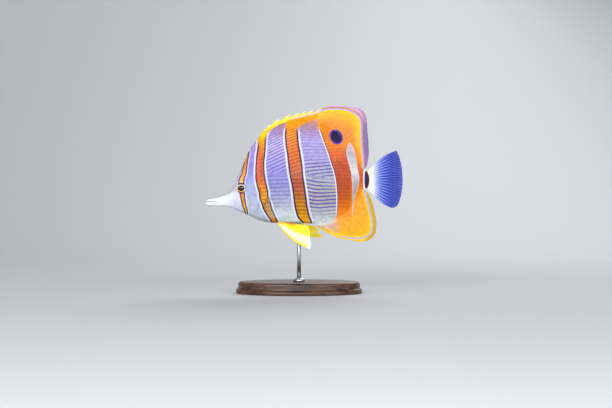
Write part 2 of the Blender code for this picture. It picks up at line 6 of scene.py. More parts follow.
import bpy
import numpy as np
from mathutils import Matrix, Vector


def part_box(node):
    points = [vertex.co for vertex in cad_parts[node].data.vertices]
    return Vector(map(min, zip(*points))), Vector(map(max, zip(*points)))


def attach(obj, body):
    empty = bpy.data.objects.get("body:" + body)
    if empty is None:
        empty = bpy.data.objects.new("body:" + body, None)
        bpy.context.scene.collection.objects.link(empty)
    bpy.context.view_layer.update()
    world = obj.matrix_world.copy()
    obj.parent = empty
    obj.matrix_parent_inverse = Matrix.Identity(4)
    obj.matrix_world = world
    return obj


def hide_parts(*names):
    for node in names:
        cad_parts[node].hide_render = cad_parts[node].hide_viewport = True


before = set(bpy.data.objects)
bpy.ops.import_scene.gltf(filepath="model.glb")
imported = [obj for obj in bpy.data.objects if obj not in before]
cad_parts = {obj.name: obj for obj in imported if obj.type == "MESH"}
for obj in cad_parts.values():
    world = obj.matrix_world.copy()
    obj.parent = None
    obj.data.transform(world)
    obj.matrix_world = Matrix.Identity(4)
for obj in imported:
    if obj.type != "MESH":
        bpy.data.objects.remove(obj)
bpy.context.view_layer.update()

# %% [markdown]
# The fish is drawn in side view, in 150ths of its length. x runs from snout to tail, z up from a level
# line through the snout, and y is how far the surface stands off the middle. Each outline is a short list
# of points with a smooth line through it, so one formula gives the whole body's thickness anywhere.

# %% Outlines of the body
BACK = [
    (-75.0, 3.5), (-74.2, 4.4), (-71.5, 4.6), (-68.3, 5.2), (-61.9, 6.9), (-57.6, 8.6),
    (-54.9, 10.9), (-52.8, 14.8), (-51.2, 19.6), (-48.5, 25.6), (-45.9, 31.7), (-42.7, 39.2),
    (-38.4, 45.9), (-34.6, 50.6), (-32.0, 53.4), (-26.0, 57.6), (-18.0, 60.9), (-9.0, 63.2),
    (0.0, 64.0), (8.0, 63.0), (16.0, 60.0), (24.0, 54.6), (31.0, 47.0), (37.0, 38.0),
    (41.5, 30.6), (44.8, 25.8), (46.5, 25.0), (49.0, 25.6),
]
BELLY = [
    (-75.0, -0.2), (-74.2, -1.1), (-70.0, -1.4), (-64.0, -1.6), (-58.7, -2.0), (-54.4, -3.3),
    (-50.2, -5.4), (-45.3, -7.3), (-40.5, -9.4), (-35.2, -11.9), (-29.8, -13.5), (-23.4, -14.4),
    (-15.0, -14.7), (-5.0, -14.7), (3.0, -14.9), (10.0, -15.0), (18.0, -13.8), (26.0, -10.4),
    (33.0, -5.0), (39.0, 2.5), (43.0, 8.6), (44.8, 11.4), (46.5, 12.0), (49.0, 11.4),
]
WIDEST_LEVEL = [(-75, 1.6), (-60, 2.2), (-54, 3.5), (-45, 8), (-35, 13), (-20, 18), (0, 22),
                (20, 21), (35, 18.5), (49, 18.5)]
HALF_WIDTH = [(-75, 1.5), (-74.2, 2.0), (-72, 1.95), (-66, 2.2), (-60, 3.0), (-56, 4.1), (-52, 5.4),
              (-47, 6.7), (-40, 8.0), (-33, 8.9), (-25, 9.6), (-12, 9.8), (0, 9.2), (12, 7.9),
              (24, 6.0), (34, 4.2), (41, 2.9), (45, 2.3), (49, 1.7)]
BACK_EDGE = [(-75, 0.6), (-60, 0.8), (-50, 1.0), (-32, 1.1), (0, 1.3), (30, 1.2), (45, 0.9), (49, 0.8)]
BELLY_EDGE = [(-75, 0.6), (-55, 0.9), (-40, 1.6), (-25, 2.4), (-2, 2.4), (8, 1.5), (20, 1.2),
              (45, 0.9), (49, 0.8)]
UPPER_FULLNESS = [(-60, 0.50), (-46, 0.80), (49, 0.85)]
LOWER_FULLNESS = [(-60, 0.50), (-46, 0.55), (5, 0.60), (25, 0.80), (49, 0.80)]
SECTION_POWER = [(-60, 2.0), (-46, 1.8), (49, 1.7)]
GILL_LINE = [(-41.5, -20), (-39.6, -10), (-36.6, -5), (-34.6, -1), (-34.0, 4), (-34.1, 10),
             (-34.9, 16), (-36.0, 22), (-37.2, 30), (-38.0, 38), (-38.8, 46), (-40.0, 60)]
MOUTH_LINE = [(-77, 2.3), (-73, 1.95), (-68, 1.6), (-60, 1.0)]
GAP = 0.0003


def hermite(knots, values, at):
    """Cubic pieces through the values. Each knot's slope is the harmonic mean of the slopes beside it."""
    step = np.diff(knots)
    slope = np.diff(values) / step
    same_way = slope[:-1] * slope[1:] > 0
    total = np.where(same_way, slope[:-1] + slope[1:], 1.0)
    inner = np.where(same_way, 2 * slope[:-1] * slope[1:] / total, 0.0)
    tangent = np.concatenate([slope[:1], inner, slope[-1:]])
    i = np.clip(np.searchsorted(knots, at, side="right") - 1, 0, len(step) - 1)
    t = (at - knots[i]) / step[i]
    return (
        values[i] * (1 + 2 * t) * (1 - t) ** 2
        + values[i + 1] * t**2 * (3 - 2 * t)
        + step[i] * t * (1 - t) * (tangent[i] * (1 - t) - tangent[i + 1] * t)
    )


def profile(points, at):
    """The value at a place of a smooth line given as (place, value) pairs, held level past its ends."""
    knots, values = np.array(points, float).T
    return hermite(knots, values, np.clip(np.asarray(at, float), knots[0], knots[-1]))


def along(points, share):
    """Points on a smooth path, at these shares of its length."""
    path = np.array(points, float)
    length = np.concatenate([[0], np.cumsum(np.linalg.norm(np.diff(path, axis=0), axis=1))])
    at = np.asarray(share, float) * length[-1]
    return np.stack([hermite(length, path[:, k], at) for k in range(path.shape[1])], axis=-1)


def ease(value):
    """0 below 0, 1 above 1, and a smooth rise 3t^2 - 2t^3 between."""
    t = np.clip(value, 0, 1)
    return t * t * (3 - 2 * t)


def flank(x, z):
    """Half the body's thickness: edge + (width - edge)(1 - s^p)^f, s from the widest level to the edge."""
    x, z = np.broadcast_arrays(np.asarray(x, float), np.asarray(z, float))
    level = profile(WIDEST_LEVEL, x)
    above = z >= level
    reach = np.where(above, profile(BACK, x) - level, level - profile(BELLY, x))
    share = np.clip(np.abs(z - level) / reach, 0, 1)
    edge = np.where(above, profile(BACK_EDGE, x), profile(BELLY_EDGE, x))
    fullness = np.where(above, profile(UPPER_FULLNESS, x), profile(LOWER_FULLNESS, x))
    swell = (1 - share ** profile(SECTION_POWER, x)) ** fullness
    return edge + (profile(HALF_WIDTH, x) - edge) * swell


unit = (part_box("tail_fin")[1].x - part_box("upper_jaw")[0].x) / 150
rod_low, rod_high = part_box("stand_rod")
rod_x = (rod_low.x + rod_high.x) / 2
datum = rod_high.z + GAP - float(profile(BELLY, rod_x / unit)) * unit
print("one unit in mm:", round(1000 * unit, 4), "level line in mm:", round(1000 * datum, 2))

# %% [markdown]
# Every surface here is a grid of points, worked out as whole arrays. A fin is two grids joined round the
# rim. A body, an eye or a rod is a row of rings with a pole at each end.

# %% Grids, sheets and rings
def grid_quads(rows, columns, wrap=False):
    """The four corners of each cell of a grid of points, closed across its columns if it wraps."""
    i = np.arange(rows - 1)[:, None]
    j = np.arange(columns if wrap else columns - 1)[None, :]
    k = (j + 1) % columns
    corners = [i * columns + j, (i + 1) * columns + j, (i + 1) * columns + k, i * columns + k]
    return np.stack(np.broadcast_arrays(*corners), axis=-1).reshape(-1, 4)


def sheet(near, far):
    """Points and faces of a closed sheet between two grids of points, joined round the rim."""
    rows, columns = near.shape[:2]
    count = rows * columns
    index = np.arange(count).reshape(rows, columns)
    rim = np.concatenate([index[:-1, 0], index[-1, :-1], index[:0:-1, -1], index[0, :0:-1]])
    after = np.roll(rim, -1)
    cells = grid_quads(rows, columns)
    side = np.stack([rim, rim + count, after + count, after], axis=-1)
    points = np.concatenate([near.reshape(-1, 3), far.reshape(-1, 3)])
    return points, [cells, cells[:, ::-1] + count, side]


def capped(rings, first_pole, last_pole):
    """Points and faces of a row of rings of points, closed by a fan to a pole at each end."""
    rows, columns = rings.shape[:2]
    here = np.arange(columns)
    after = (here + 1) % columns
    last = (rows - 1) * columns
    first_fan = np.stack([np.full(columns, rows * columns), here, after], axis=-1)
    last_fan = np.stack([np.full(columns, rows * columns + 1), last + after, last + here], axis=-1)
    points = np.concatenate([rings.reshape(-1, 3), [first_pole, last_pole]])
    return points, [np.concatenate([first_fan, last_fan]), grid_quads(rows, columns, wrap=True)]

# %% [markdown]
# Points and faces go into a mesh as flat arrays. What the finish needs to know at each point, such as how
# far it lies inside a stripe, goes along as an attribute. A closed shape whose volume comes out negative is
# inside out, so it is turned round.

# %% One piece from its points
def triangles(faces):
    """Quads as two triangles each."""
    return faces if faces.shape[1] == 3 else np.concatenate([faces[:, [0, 1, 2]], faces[:, [0, 2, 3]]])


def volume(points, faces):
    """Six times the volume inside, as the sum of corner triple products."""
    a, b, c = (points[np.concatenate([triangles(f) for f in faces])[:, k]] for k in range(3))
    return float(np.einsum("ij,ij->i", a, np.cross(b, c)).sum())


def in_world(points):
    """Outline units, level line at 0, as metres in the shared frame."""
    return points * unit + np.array([0.0, 0.0, datum])


def piece(name, points, faces, material, values=None, uv=None, crisp=None):
    """A smooth mesh object that rides with the model. Values go on it as attributes, one per point.

    An edge is shaded crisp where both its ends are crisp points."""
    if volume(points, faces) < 0:
        faces = [f[:, ::-1] for f in faces]
    mesh = bpy.data.meshes.new(name)
    mesh.vertices.add(len(points))
    mesh.vertices.foreach_set("co", points.astype(np.float32).ravel())
    corners = np.concatenate([f.ravel() for f in faces]).astype(np.int32)
    sizes = np.concatenate([np.full(len(f), f.shape[1]) for f in faces])
    mesh.loops.add(len(corners))
    mesh.loops.foreach_set("vertex_index", corners)
    mesh.polygons.add(len(sizes))
    mesh.polygons.foreach_set("loop_start", (np.cumsum(sizes) - sizes).astype(np.int32))
    mesh.update(calc_edges=True)
    mesh.validate()
    mesh.shade_smooth()
    if crisp is not None:
        ends = np.empty(2 * len(mesh.edges), np.int32)
        mesh.edges.foreach_get("vertices", ends)
        mesh.edges.foreach_set("use_edge_sharp", crisp[ends].reshape(-1, 2).all(axis=1))
    for key, value in (values or {}).items():
        kind = "FLOAT_COLOR" if np.ndim(value) == 2 else "FLOAT"
        data = mesh.attributes.new(key, kind, "POINT").data
        if kind == "FLOAT_COLOR":
            rgba = np.concatenate([value, np.ones((len(value), 1))], axis=1)
            data.foreach_set("color", rgba.astype(np.float32).ravel())
        else:
            data.foreach_set("value", np.asarray(value, np.float32))
    if uv is not None:
        layer = mesh.uv_layers.new(name="OFBake")
        layer.uv.foreach_set("vector", uv[corners].astype(np.float32).ravel())
    mesh.materials.append(material)
    made = bpy.data.objects.new(name, mesh)
    bpy.context.scene.collection.objects.link(made)
    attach(made, "root")
    count = sum(len(triangles(f)) for f in faces)
    print(f"{name}: {count} triangles")
    return made

# %% [markdown]
# The copper bands are drawn as distances. For each stripe, a field says how many millimetres a point
# lies inside its left and right edges, and the smaller of the two tells where the colour starts. The
# shader cuts that field at fixed distances, so an edge stays sharp however coarse the mesh is.

# %% The stripes, as (height, left edge, right edge)
EYE_BAND_TOP = [(15.6, -49.3, -46.1), (17.3, -49.2, -46.3), (23.5, -46.8, -44.6), (29.4, -45.7, -43.9),
                (35.6, -44.4, -43.0), (39.4, -43.1, -42.5)]
EYE_BAND_LOW = [(-7.4, -44.1, -43.6), (-6.4, -44.5, -43.4), (-3.5, -45.4, -43.9), (-0.8, -46.4, -44.6),
                (2.8, -47.2, -45.2), (6.7, -48.1, -45.5), (8.2, -48.4, -45.6)]
BAND_TWO = [(-16, -22.8, -19.6), (-11.5, -25.3, -21.9), (-7.6, -27.8, -23.6), (-3.3, -30.2, -25.4),
            (1.0, -31.6, -26.4), (4.1, -32.7, -28.0), (9.3, -33.5, -28.3), (14.8, -35.0, -29.5),
            (20.3, -35.9, -30.5), (25.7, -35.9, -31.1), (31.2, -35.7, -31.3), (36.3, -35.3, -30.7),
            (42.1, -34.5, -30.3), (47.6, -34.3, -30.1), (51, -35.0, -29.8), (54.3, -35.5, -28.8),
            (57, -36, -25.8), (60, -36, -21.4), (62.8, -36, -14.5)]
BAND_THREE = [(-16, 0.2, 4.9), (-14.2, -0.3, 4.6), (-9.2, -4.1, 2.9), (-1.4, -6.2, 1.2), (6.4, -7.2, 0.2),
              (14.2, -8.3, -0.9), (21.9, -9.9, -2.1), (27.8, -10.7, -2.5), (38.5, -11.9, -4.1),
              (45.8, -13.0, -5.4), (53.1, -13.4, -6.0), (57, -13.2, -6.2), (59, -13.0, -4.6),
              (61, -12.8, -2.0), (63, -12.7, 1.9), (64.6, -12.6, 6.0), (67, -12.4, 16)]
BAND_FOUR = [(-18, 23.0, 40), (-13.8, 24.2, 36.9), (-12, 24.7, 36.0), (-7.8, 25.5, 35.8), (2.9, 25.8, 35.9),
             (13.6, 25.2, 35.6), (23.2, 23.6, 34.8), (31.8, 20.9, 32.7), (40.3, 18.3, 31.1),
             (45.7, 16.2, 32.7), (48.9, 15.1, 36.5), (52, 14, 60), (58.5, 11.9, 60), (64, 11.0, 60),
             (70, 13, 60)]
REAR_FIELD = [(-18, 34, 60), (-13.8, 36.6, 60), (-12, 37.3, 60), (-8, 37.5, 60), (2.9, 38.6, 60),
              (9.5, 40.3, 60), (11.2, 41, 44.4), (19, 42.3, 44.3), (26.2, 41.3, 44.4), (28, 41.0, 60),
              (35, 39.7, 60), (43.5, 37.5, 60), (46.5, 35.4, 60), (49, 33, 60), (52, 30, 60), (80, 30, 60)]
STALK_BAR = [(11.4, 46.7, 46.9), (13.0, 45.8, 47.9), (15.5, 45.4, 48.8), (18.5, 45.3, 49.0),
             (21.5, 45.4, 48.7), (24.0, 45.7, 47.6), (25.6, 46.5, 46.8)]
EYESPOT_MIDDLE = (24.3, 51.0)
EYESPOT_RADII = (4.4, 5.4)
EYESPOT_TILT = np.radians(28)
RIM_WIDTH = 1.1
HALO_WIDTH = 1.2


def inside(band, x, z, rim=RIM_WIDTH, ends=None):
    """How far inside a stripe a point lies, in millimetres, negative outside. A wider dark rim is scaled."""
    table = np.array(band, float)
    edges = [profile(table[:, [0, k]], z) for k in (1, 2)]
    lean = [profile(table[:, [0, k]], z + 0.5) - profile(table[:, [0, k]], z - 0.5) for k in (1, 2)]
    deep = np.minimum((x - edges[0]) / np.hypot(1, lean[0]), (edges[1] - x) / np.hypot(1, lean[1]))
    if ends:
        deep = np.minimum(deep, np.minimum(z - ends[0], ends[1] - z))
    return np.where(deep < 0, deep * RIM_WIDTH / rim, deep)


def path_distance(points, x, z):
    """Distance to a smooth path, positive on its left as it runs, from its nearest short straight piece."""
    path = along(points, np.linspace(0, 1, 60))
    best = np.full(np.shape(x), 1e9)
    sign = np.ones(np.shape(x))
    for start, end in zip(path[:-1], path[1:]):
        run = end - start
        t = np.clip(((x - start[0]) * run[0] + (z - start[1]) * run[1]) / (run @ run), 0, 1)
        dx = x - start[0] - t * run[0]
        dz = z - start[1] - t * run[1]
        gone = np.hypot(dx, dz)
        nearer = gone < best
        best = np.where(nearer, gone, best)
        sign = np.where(nearer, np.sign(run[0] * dz - run[1] * dx), sign)
    return best * sign

# %% [markdown]
# Between the stripes the fish is pearl and lilac. Each zone between two stripes has its own run of
# colours from belly to back, and so has each stripe. These are broad gradients, given as the colours look
# on a screen and mixed in the linear values that shaders use.

# %% Colour helpers
def linear(*srgb):
    """A colour given as it looks on a screen, 0 to 255, in the linear values that shaders use."""
    share = np.array(srgb, float) / 255
    return np.where(share <= 0.04045, share / 12.92, ((share + 0.055) / 1.055) ** 2.4)


def by_height(z, *stops):
    """A colour that changes smoothly with height, from stops given as (height, red, green, blue)."""
    levels = np.array([s[0] for s in stops], float)
    colours = np.array([linear(*s[1:]) for s in stops])
    return np.stack([np.interp(z, levels, colours[:, k]) for k in range(3)], axis=-1)


def mixed(first, second, share):
    """The first colour turning into the second as the share goes from 0 to 1."""
    share = np.asarray(share, float)[..., None]
    return first * (1 - share) + second * share

# %% Ground and stripe colours by height
def ground_colours(x, z):
    """The pale colours between the stripes, with painted shadow along the mouth and the gill opening. The
    zone is picked by which stripes' middles lie on each side.
    """
    face = by_height(z, (-8, 196, 200, 226), (0, 212, 218, 238), (5, 226, 232, 246), (12, 222, 222, 246),
                     (20, 212, 202, 248), (38, 186, 168, 234))
    cheek = by_height(z, (-14, 172, 184, 194), (-6, 188, 200, 214), (5, 180, 188, 214), (15, 156, 170, 226),
                      (28, 150, 134, 216), (38, 170, 148, 228), (48, 184, 166, 230))
    front = by_height(z, (-15, 212, 230, 216), (-8, 206, 220, 222), (2, 172, 180, 200), (14, 148, 152, 206),
                      (24, 148, 146, 216), (34, 172, 162, 228), (44, 192, 180, 236), (50, 192, 176, 228),
                      (54, 184, 150, 190), (58, 186, 142, 160), (62, 214, 172, 120))
    middle = by_height(z, (-15, 220, 226, 220), (-8, 192, 198, 192), (2, 180, 178, 164), (14, 176, 180, 170),
                       (24, 170, 174, 190), (31, 174, 168, 210), (40, 178, 170, 224), (47, 184, 170, 226),
                       (53, 182, 158, 206), (58, 176, 134, 154), (62, 196, 136, 124), (66, 236, 146, 76))
    patch = by_height(z, (-12, 246, 190, 110), (-4, 204, 176, 146), (8, 166, 150, 142), (16, 172, 164, 156),
                      (25, 226, 224, 220), (32, 200, 194, 198), (38, 188, 178, 190), (46, 220, 180, 170))
    eye_band = np.where(z > 12, profile([(15, -47.7), (28, -45), (40, -42.8)], z),
                        profile([(-8, -43.9), (0, -45.6), (8, -47)], z))
    middles = [eye_band, *[profile(np.array(b)[:, :2], z) + w for b, w in
                           ((BAND_TWO, 2.2), (BAND_THREE, 3.7), (BAND_FOUR, 5))]]
    colour = face
    for edge, following in zip(middles, (cheek, front, middle, patch)):
        colour = np.where((x > edge)[..., None], following, colour)
    colour = mixed(colour, linear(240, 246, 250), ease((-52 - x) / 8))
    # Painted shadow: a dark line along the mouth, where the jaws meet.
    mouth = (z - profile(MOUTH_LINE, x)) / 0.22
    colour = mixed(colour, linear(96, 96, 140), 0.7 * np.exp(-(mouth**2)) * ease((-64.5 - x) / 3))
    crown = ease((z - profile(BACK, x) + 1.6) / 1.2) * ease((-30 - x) / 3)
    colour = mixed(colour, linear(150, 96, 120), 0.45 * crown)
    # Painted shadow: a darker line just behind the lower end of the gill opening, under the lip of the gill
    # cover.
    slit = (x - profile(np.array(GILL_LINE, float)[:, ::-1], z) - 0.3) / 0.5
    gill_shadow_share = 0.5 * np.exp(-(slit**2)) * ease((z + 10) / 4) * ease((5 - z) / 5)
    colour = mixed(colour, linear(104, 104, 156), gill_shadow_share)
    return mixed(colour, linear(242, 240, 222), ease((x - 44.0) / 0.5))


def stripe_colours(x, z):
    """The warm colours of the stripes, of the rear of the body and of the soft fins that grow from it."""
    one = by_height(z, (-8, 190, 156, 24), (-3, 226, 172, 40), (6, 214, 130, 70), (10, 234, 130, 60),
                    (16, 255, 205, 130), (22, 255, 182, 70), (30, 252, 158, 74), (40, 232, 134, 90))
    two = by_height(z, (-14, 214, 134, 8), (-4, 212, 150, 14), (1, 222, 160, 24), (6, 252, 176, 34),
                    (12, 244, 146, 30), (18, 228, 104, 34), (27, 218, 80, 34), (36, 232, 100, 40),
                    (43, 252, 146, 32), (49, 254, 186, 10), (53, 255, 218, 6))
    three = by_height(z, (-15, 238, 172, 4), (-6, 220, 154, 10), (2, 202, 126, 24), (12, 186, 92, 48),
                      (18, 186, 90, 54), (24, 212, 108, 62), (34, 226, 108, 46), (44, 244, 128, 40),
                      (52, 250, 146, 34), (58, 250, 158, 16), (63, 250, 162, 8))
    four = by_height(z, (-12, 253, 164, 2), (-7, 242, 138, 4), (-2, 222, 112, 8), (5, 198, 88, 18),
                     (12, 186, 76, 28), (20, 192, 78, 34), (30, 200, 82, 44), (38, 226, 108, 46),
                     (46, 244, 136, 34), (54, 240, 136, 28), (60, 240, 140, 18))
    rear = by_height(z, (-13, 255, 176, 2), (0, 255, 170, 4), (10, 246, 140, 10), (18, 214, 84, 16),
                     (26, 210, 88, 18), (34, 226, 128, 14), (44, 246, 170, 20), (60, 255, 180, 4))
    colour = one
    for edge, following in ((-40, two), (-20, three), (12, four)):
        colour = mixed(colour, following, ease((x - edge) / 1.0))
    colour = mixed(colour, rear, ease((x - 33) / 7))
    dorsal = mixed(linear(244, 142, 24), linear(255, 172, 0), ease((z - 61 + (x - 14) * 0.3) / 9))
    colour = mixed(colour, dorsal, ease((z - profile(BACK, x) + 1) / 4) * ease((x - 2) / 5))
    front = mixed(linear(224, 228, 220), linear(208, 176, 166), ease((profile(BELLY, x) - z) / 3.5))
    anal = mixed(front, linear(255, 176, 0), ease((x - 17 + z * 0.1) / 11))
    low = np.maximum(ease((-9 - z) / 5), ease((profile(BELLY, x) + 1 - z) / 4) * ease((24 - x) / 4))
    return mixed(colour, anal, low * ease((x - 2) / 5))


def tail_colours(x):
    """Cream at the tail's base, lavender, and deep blue outwards, with a paler hem."""
    return by_height(x, (49, 248, 244, 220), (52.5, 232, 235, 232), (55, 160, 174, 228), (58, 78, 100, 212),
                     (61, 38, 62, 190), (65, 18, 42, 164), (71, 12, 38, 152), (75, 34, 54, 170))

# %% [markdown]
# The soft fins have an outer margin in another colour, parted from the rest by a thin blue line. The line
# is a path, and the distance to it tells which side of it a point lies on.

# %% Margins of the soft fins
SOFT_BACK_LINE = [(9.5, 69.6), (12.9, 70.8), (19.3, 72.4), (29.0, 72.2), (36.4, 70.1), (41.2, 66.5),
                  (43.1, 61.7), (43.4, 51.0), (44.1, 40.3), (45.0, 31.8), (44.6, 24.0)]
ANAL_LINE = [(44.6, 13.0), (45.4, 10.5), (48.2, 1.8), (50.4, -7.8), (51.6, -15.3), (51.2, -20.6),
             (48.2, -24.4), (41.8, -26.2), (34.3, -25.7), (26, -23.6), (18, -20.0)]


def margin_colours(x, z, colour, back):
    """The soft fins' outer margins: yellow up to the blue line, and past it lilac above, olive gold below."""
    outward = path_distance(SOFT_BACK_LINE if back else ANAL_LINE, x, z)
    if back:
        lilac = mixed(linear(216, 164, 206), linear(122, 98, 172), ease((72.5 - z) / 14))
        tint = mixed(linear(196, 116, 90), lilac, ease((outward - 1.3) / 0.6))
        tint = mixed(tint, linear(104, 70, 136), 0.5 * ease((outward - 3.6) / 0.8))
        near = 1.2 + 6.4 * ease((z - 36) / 12)
    else:
        tint = mixed(linear(202, 158, 0), linear(248, 204, 0), ease((50 - x) / 8))
        near = 2.5
    colour = mixed(colour, linear(255, 210, 0), 0.7 * ease((outward + near + 1) / near))
    return mixed(colour, tint, ease((outward - 0.3) / 0.5)), outward

# %% [markdown]
# Three rims differ from place to place: the dark purple rim of a stripe, the white halo outside it, and
# the violet lines between the rows of scales. Along the back the edges melt into each other. Each of these
# is a share from 0 to 1, made of smooth steps in x and z.

# %% Where edges melt and lines show
# Rims and halos in order: the eye band, bands two to four, and the rear. FAR is wider than any edge.
RIM_STRENGTH = np.array([0.96, 1.0, 0.97, 0.6, 0.0])
HALO_STRENGTH = np.array([0.75, 0.9, 0.85, 1.0, 0.3])
EYE_BAND_ENDS = [(15.9, 40), (-7.6, 7.9)]
FAR = 9.0
BLUR_FROM = [(-30, 52.5), (-17, 53), (-13, 58), (-9, 58), (-7, 54), (20, 54)]
SEAM = [(-40, 24.5), (-22, 22.6), (-1, 21.4), (8, 20.4), (22, 18.3), (34, 18.4), (50, 18.4)]
MAUVE_TOP = [(-9, 56), (-5.5, 58.2), (-2, 61.0), (1.9, 63.0), (6, 64.6), (12, 66.2), (18, 67.2)]


def stripe_fields(x, z):
    """How far inside each stripe a point lies, from the eye band to the rear."""
    eye_band = np.maximum(inside(EYE_BAND_TOP, x, z, 0.85, EYE_BAND_ENDS[0]),
                          inside(EYE_BAND_LOW, x, z, 0.8, EYE_BAND_ENDS[1]))
    return np.stack([eye_band, inside(BAND_TWO, x, z, 1.15), inside(BAND_THREE, x, z, 1.35),
                     inside(BAND_FOUR, x, z, 0.75), inside(REAR_FIELD, x, z, 0.5)])


def melting(x, z):
    """1 where the stripes' edges melt away: along the back, and at the belly in front of band four."""
    high = ease((z - profile(BLUR_FROM, x)) / 4) * (x > -33)
    low = ease((-7 - z) / 4) * ease((x - 14) / 4) * (x < 30)
    return np.maximum(high, low)


def row_lines(x, z):
    """How strongly the lines between rows show: most low behind band three, least where the rows part."""
    strong = ease((z + 9) / 8) * ease((37 - z) / 9)
    oblique = ease((z - 16) / 8) * ease((56 - z) / 8)
    behind = ease((x + 8) / 4)
    rear = behind * ease((30 - x) / 2) * (0.36 + 0.58 * strong) * ease((62 - z) / 10) * ease((z + 12) / 4)
    front = (1 - behind) * ease((x + 33) / 3) * (0.48 + 0.20 * oblique) * ease((z + 7) / 8)
    parted = 1 - 0.7 * np.exp(-(((z - profile(SEAM, x)) / 1.5) ** 2))
    return (rear + front) * parted


def eyespot(x, z):
    """How far inside the eyespot a point lies: an oval, turned by its tilt."""
    east, north = x - EYESPOT_MIDDLE[0], z - EYESPOT_MIDDLE[1]
    across = east * np.cos(EYESPOT_TILT) + north * np.sin(EYESPOT_TILT)
    upward = north * np.cos(EYESPOT_TILT) - east * np.sin(EYESPOT_TILT)
    return EYESPOT_RADII[0] * (1 - np.hypot(across / EYESPOT_RADII[0], upward / EYESPOT_RADII[1]))

# %% [markdown]
# One function works all of it out for any point of the side view. The skin, the scales and the fins all
# ask that same function, so their markings line up.

# %% All markings at a point
def markings(x, z, region="body"):
    """The colours and distances that the finish reads at points of the side view."""
    x, z = np.broadcast_arrays(np.asarray(x, float), np.asarray(z, float))
    fields = stripe_fields(x, z)
    band, winner = fields.max(axis=0), fields.argmax(axis=0)
    on_fin = region in ("soft_back", "anal")
    if on_fin:
        band = np.where(x > 24, fields[3:].max(axis=0), FAR)
    elif region != "body":
        band = np.full(x.shape, FAR)
    paint = tail_colours(x) if region == "tail" else stripe_colours(x, z)
    blurred = melting(x, z)
    soft = np.where(winner == 3, 4.5, 1.6)
    ground = mixed(ground_colours(x, z), paint, ease((band + soft) / soft) * blurred)
    under_back = profile(BACK, x) - z
    rim_share = RIM_STRENGTH[winner] * np.where(winner == 0, 1, ease((under_back - 1) / 7)) * (1 - blurred)
    rim_share = rim_share * np.where(winner == 3, ease((33 - x) / 3), 1)
    rim = mixed(np.where((blurred > 0.5)[..., None], ground, paint), linear(62, 16, 58), rim_share)
    halo = HALO_STRENGTH[winner] * np.where(winner == 0, ease((x + 46) / 2), 1)
    halo = halo * np.where((winner == 3) & (x > 31), 0.3, 1) * (1 - blurred) * ease((44 - x) / 0.5)
    bar = inside(STALK_BAR, x, z)
    lines = row_lines(x, z) * (bar < -1) * (x < 44)
    within = ease(np.minimum(under_back, z - profile(BELLY, x)) / 10)
    on_band = np.where(winner >= 3, 0.30, 0.52) * within * ease((x + 36) / 3) * (region == "body")
    on_band = on_band + 0.28 * on_fin
    ring = mixed(linear(222, 228, 255), linear(104, 12, 34), ease((x - 46.2) / 0.6))
    ring = np.where((x < 40)[..., None], linear(84, 48, 178), ring)
    line = np.full(x.shape, FAR)
    if on_fin:
        paint, outward = margin_colours(x, z, paint, region == "soft_back")
        line = np.abs(outward) + 0.9 * ease((34 - x) / 12) * (region == "anal")
    if region == "soft_back":
        front_of_four = profile(np.array(BAND_FOUR)[:, :2], z)
        mauve = ease((profile(MAUVE_TOP, x) - z) / 2.5) * ease((front_of_four + 2 - x) / 4)
        paint = mixed(paint, linear(210, 142, 120), mauve)
    spot = eyespot(x, z) if region in ("body", "soft_back") else np.full(x.shape, -FAR)
    spot = np.maximum(spot, bar if region in ("body", "tail") else -FAR)
    found = {"ground": ground, "paint": paint, "rim": rim, "ring": ring}
    found = {key: value.reshape(-1, 3) for key, value in found.items()}
    numbers = {"band": band, "halo": halo, "lines": lines, "band_lines": on_band, "line": line, "spot": spot}
    return found | {key: value.ravel() for key, value in numbers.items()}

# %% [markdown]
# A finish is a small tree of nodes. These helpers add a node, set or link its sockets by name, and return
# its output, so that a material below reads as a list of steps. Noise is laid on Object coordinates, so the
# pattern stays put from every side.

# %% Node helpers
def shader_tree(name):
    """A new material with a Principled shader, its tree and that shader."""
    made = bpy.data.materials.new(name)
    made.use_nodes = True
    return made, made.node_tree, made.node_tree.nodes["Principled BSDF"]


def add(tree, kind, out=0, settings=None, **sockets):
    """Adds a node, sets or links the named sockets, and returns the output asked for."""
    made = tree.nodes.new(kind)
    for key, value in (settings or {}).items():
        setattr(made, key, value)
    for key, value in sockets.items():
        socket = made.inputs[int(key[1:])] if key[0] == "i" and key[1:].isdigit() else made.inputs[key]
        if isinstance(value, bpy.types.NodeSocket):
            tree.links.new(value, socket)
        else:
            socket.default_value = value
    return made.outputs[out]


def attribute(tree, name, colour=False):
    """What the mesh says at each point under this name."""
    return add(tree, "ShaderNodeAttribute", "Color" if colour else "Fac", {"attribute_name": name})


def step_at(tree, value, edge, soft):
    """0 below an edge and 1 above it, smooth over a soft width."""
    return add(tree, "ShaderNodeMapRange", 0, {"interpolation_type": "SMOOTHSTEP"},
               i0=value, i1=edge - soft, i2=edge + soft, i3=0.0, i4=1.0)


def times(tree, a, b):
    """The product of two numbers."""
    return add(tree, "ShaderNodeMath", 0, {"operation": "MULTIPLY"}, i0=a, i1=b)


def blend_colour(tree, a, b, share, how="MIX"):
    """Colour a turning into colour b by the share, or another way of mixing the two."""
    return add(tree, "ShaderNodeMix", 2, {"data_type": "RGBA", "blend_type": how}, i0=share, i6=a, i7=b)


def noise(tree, scale, detail=2.0):
    """Noise on Object coordinates, with this many lumps to a metre."""
    place = add(tree, "ShaderNodeTexCoord", "Object")
    return add(tree, "ShaderNodeTexNoise", "Fac", Vector=place, Scale=scale, Detail=detail)


def rgba(*srgb):
    """A screen colour as the four linear numbers of a colour socket."""
    return (*linear(*srgb), 1.0)


def spread(tree, value, low, high, start=0.3, stop=0.7):
    """The run from start to stop carried over to the run from low to high, and held past its ends."""
    return add(tree, "ShaderNodeMapRange", 0, i0=value, i1=start, i2=stop, i3=low, i4=high)


def shaded(tree, colour, value):
    """The colour times a number."""
    grey = add(tree, "ShaderNodeCombineColor", 0, i0=value, i1=value, i2=value)
    return blend_colour(tree, colour, grey, 1.0, "MULTIPLY")


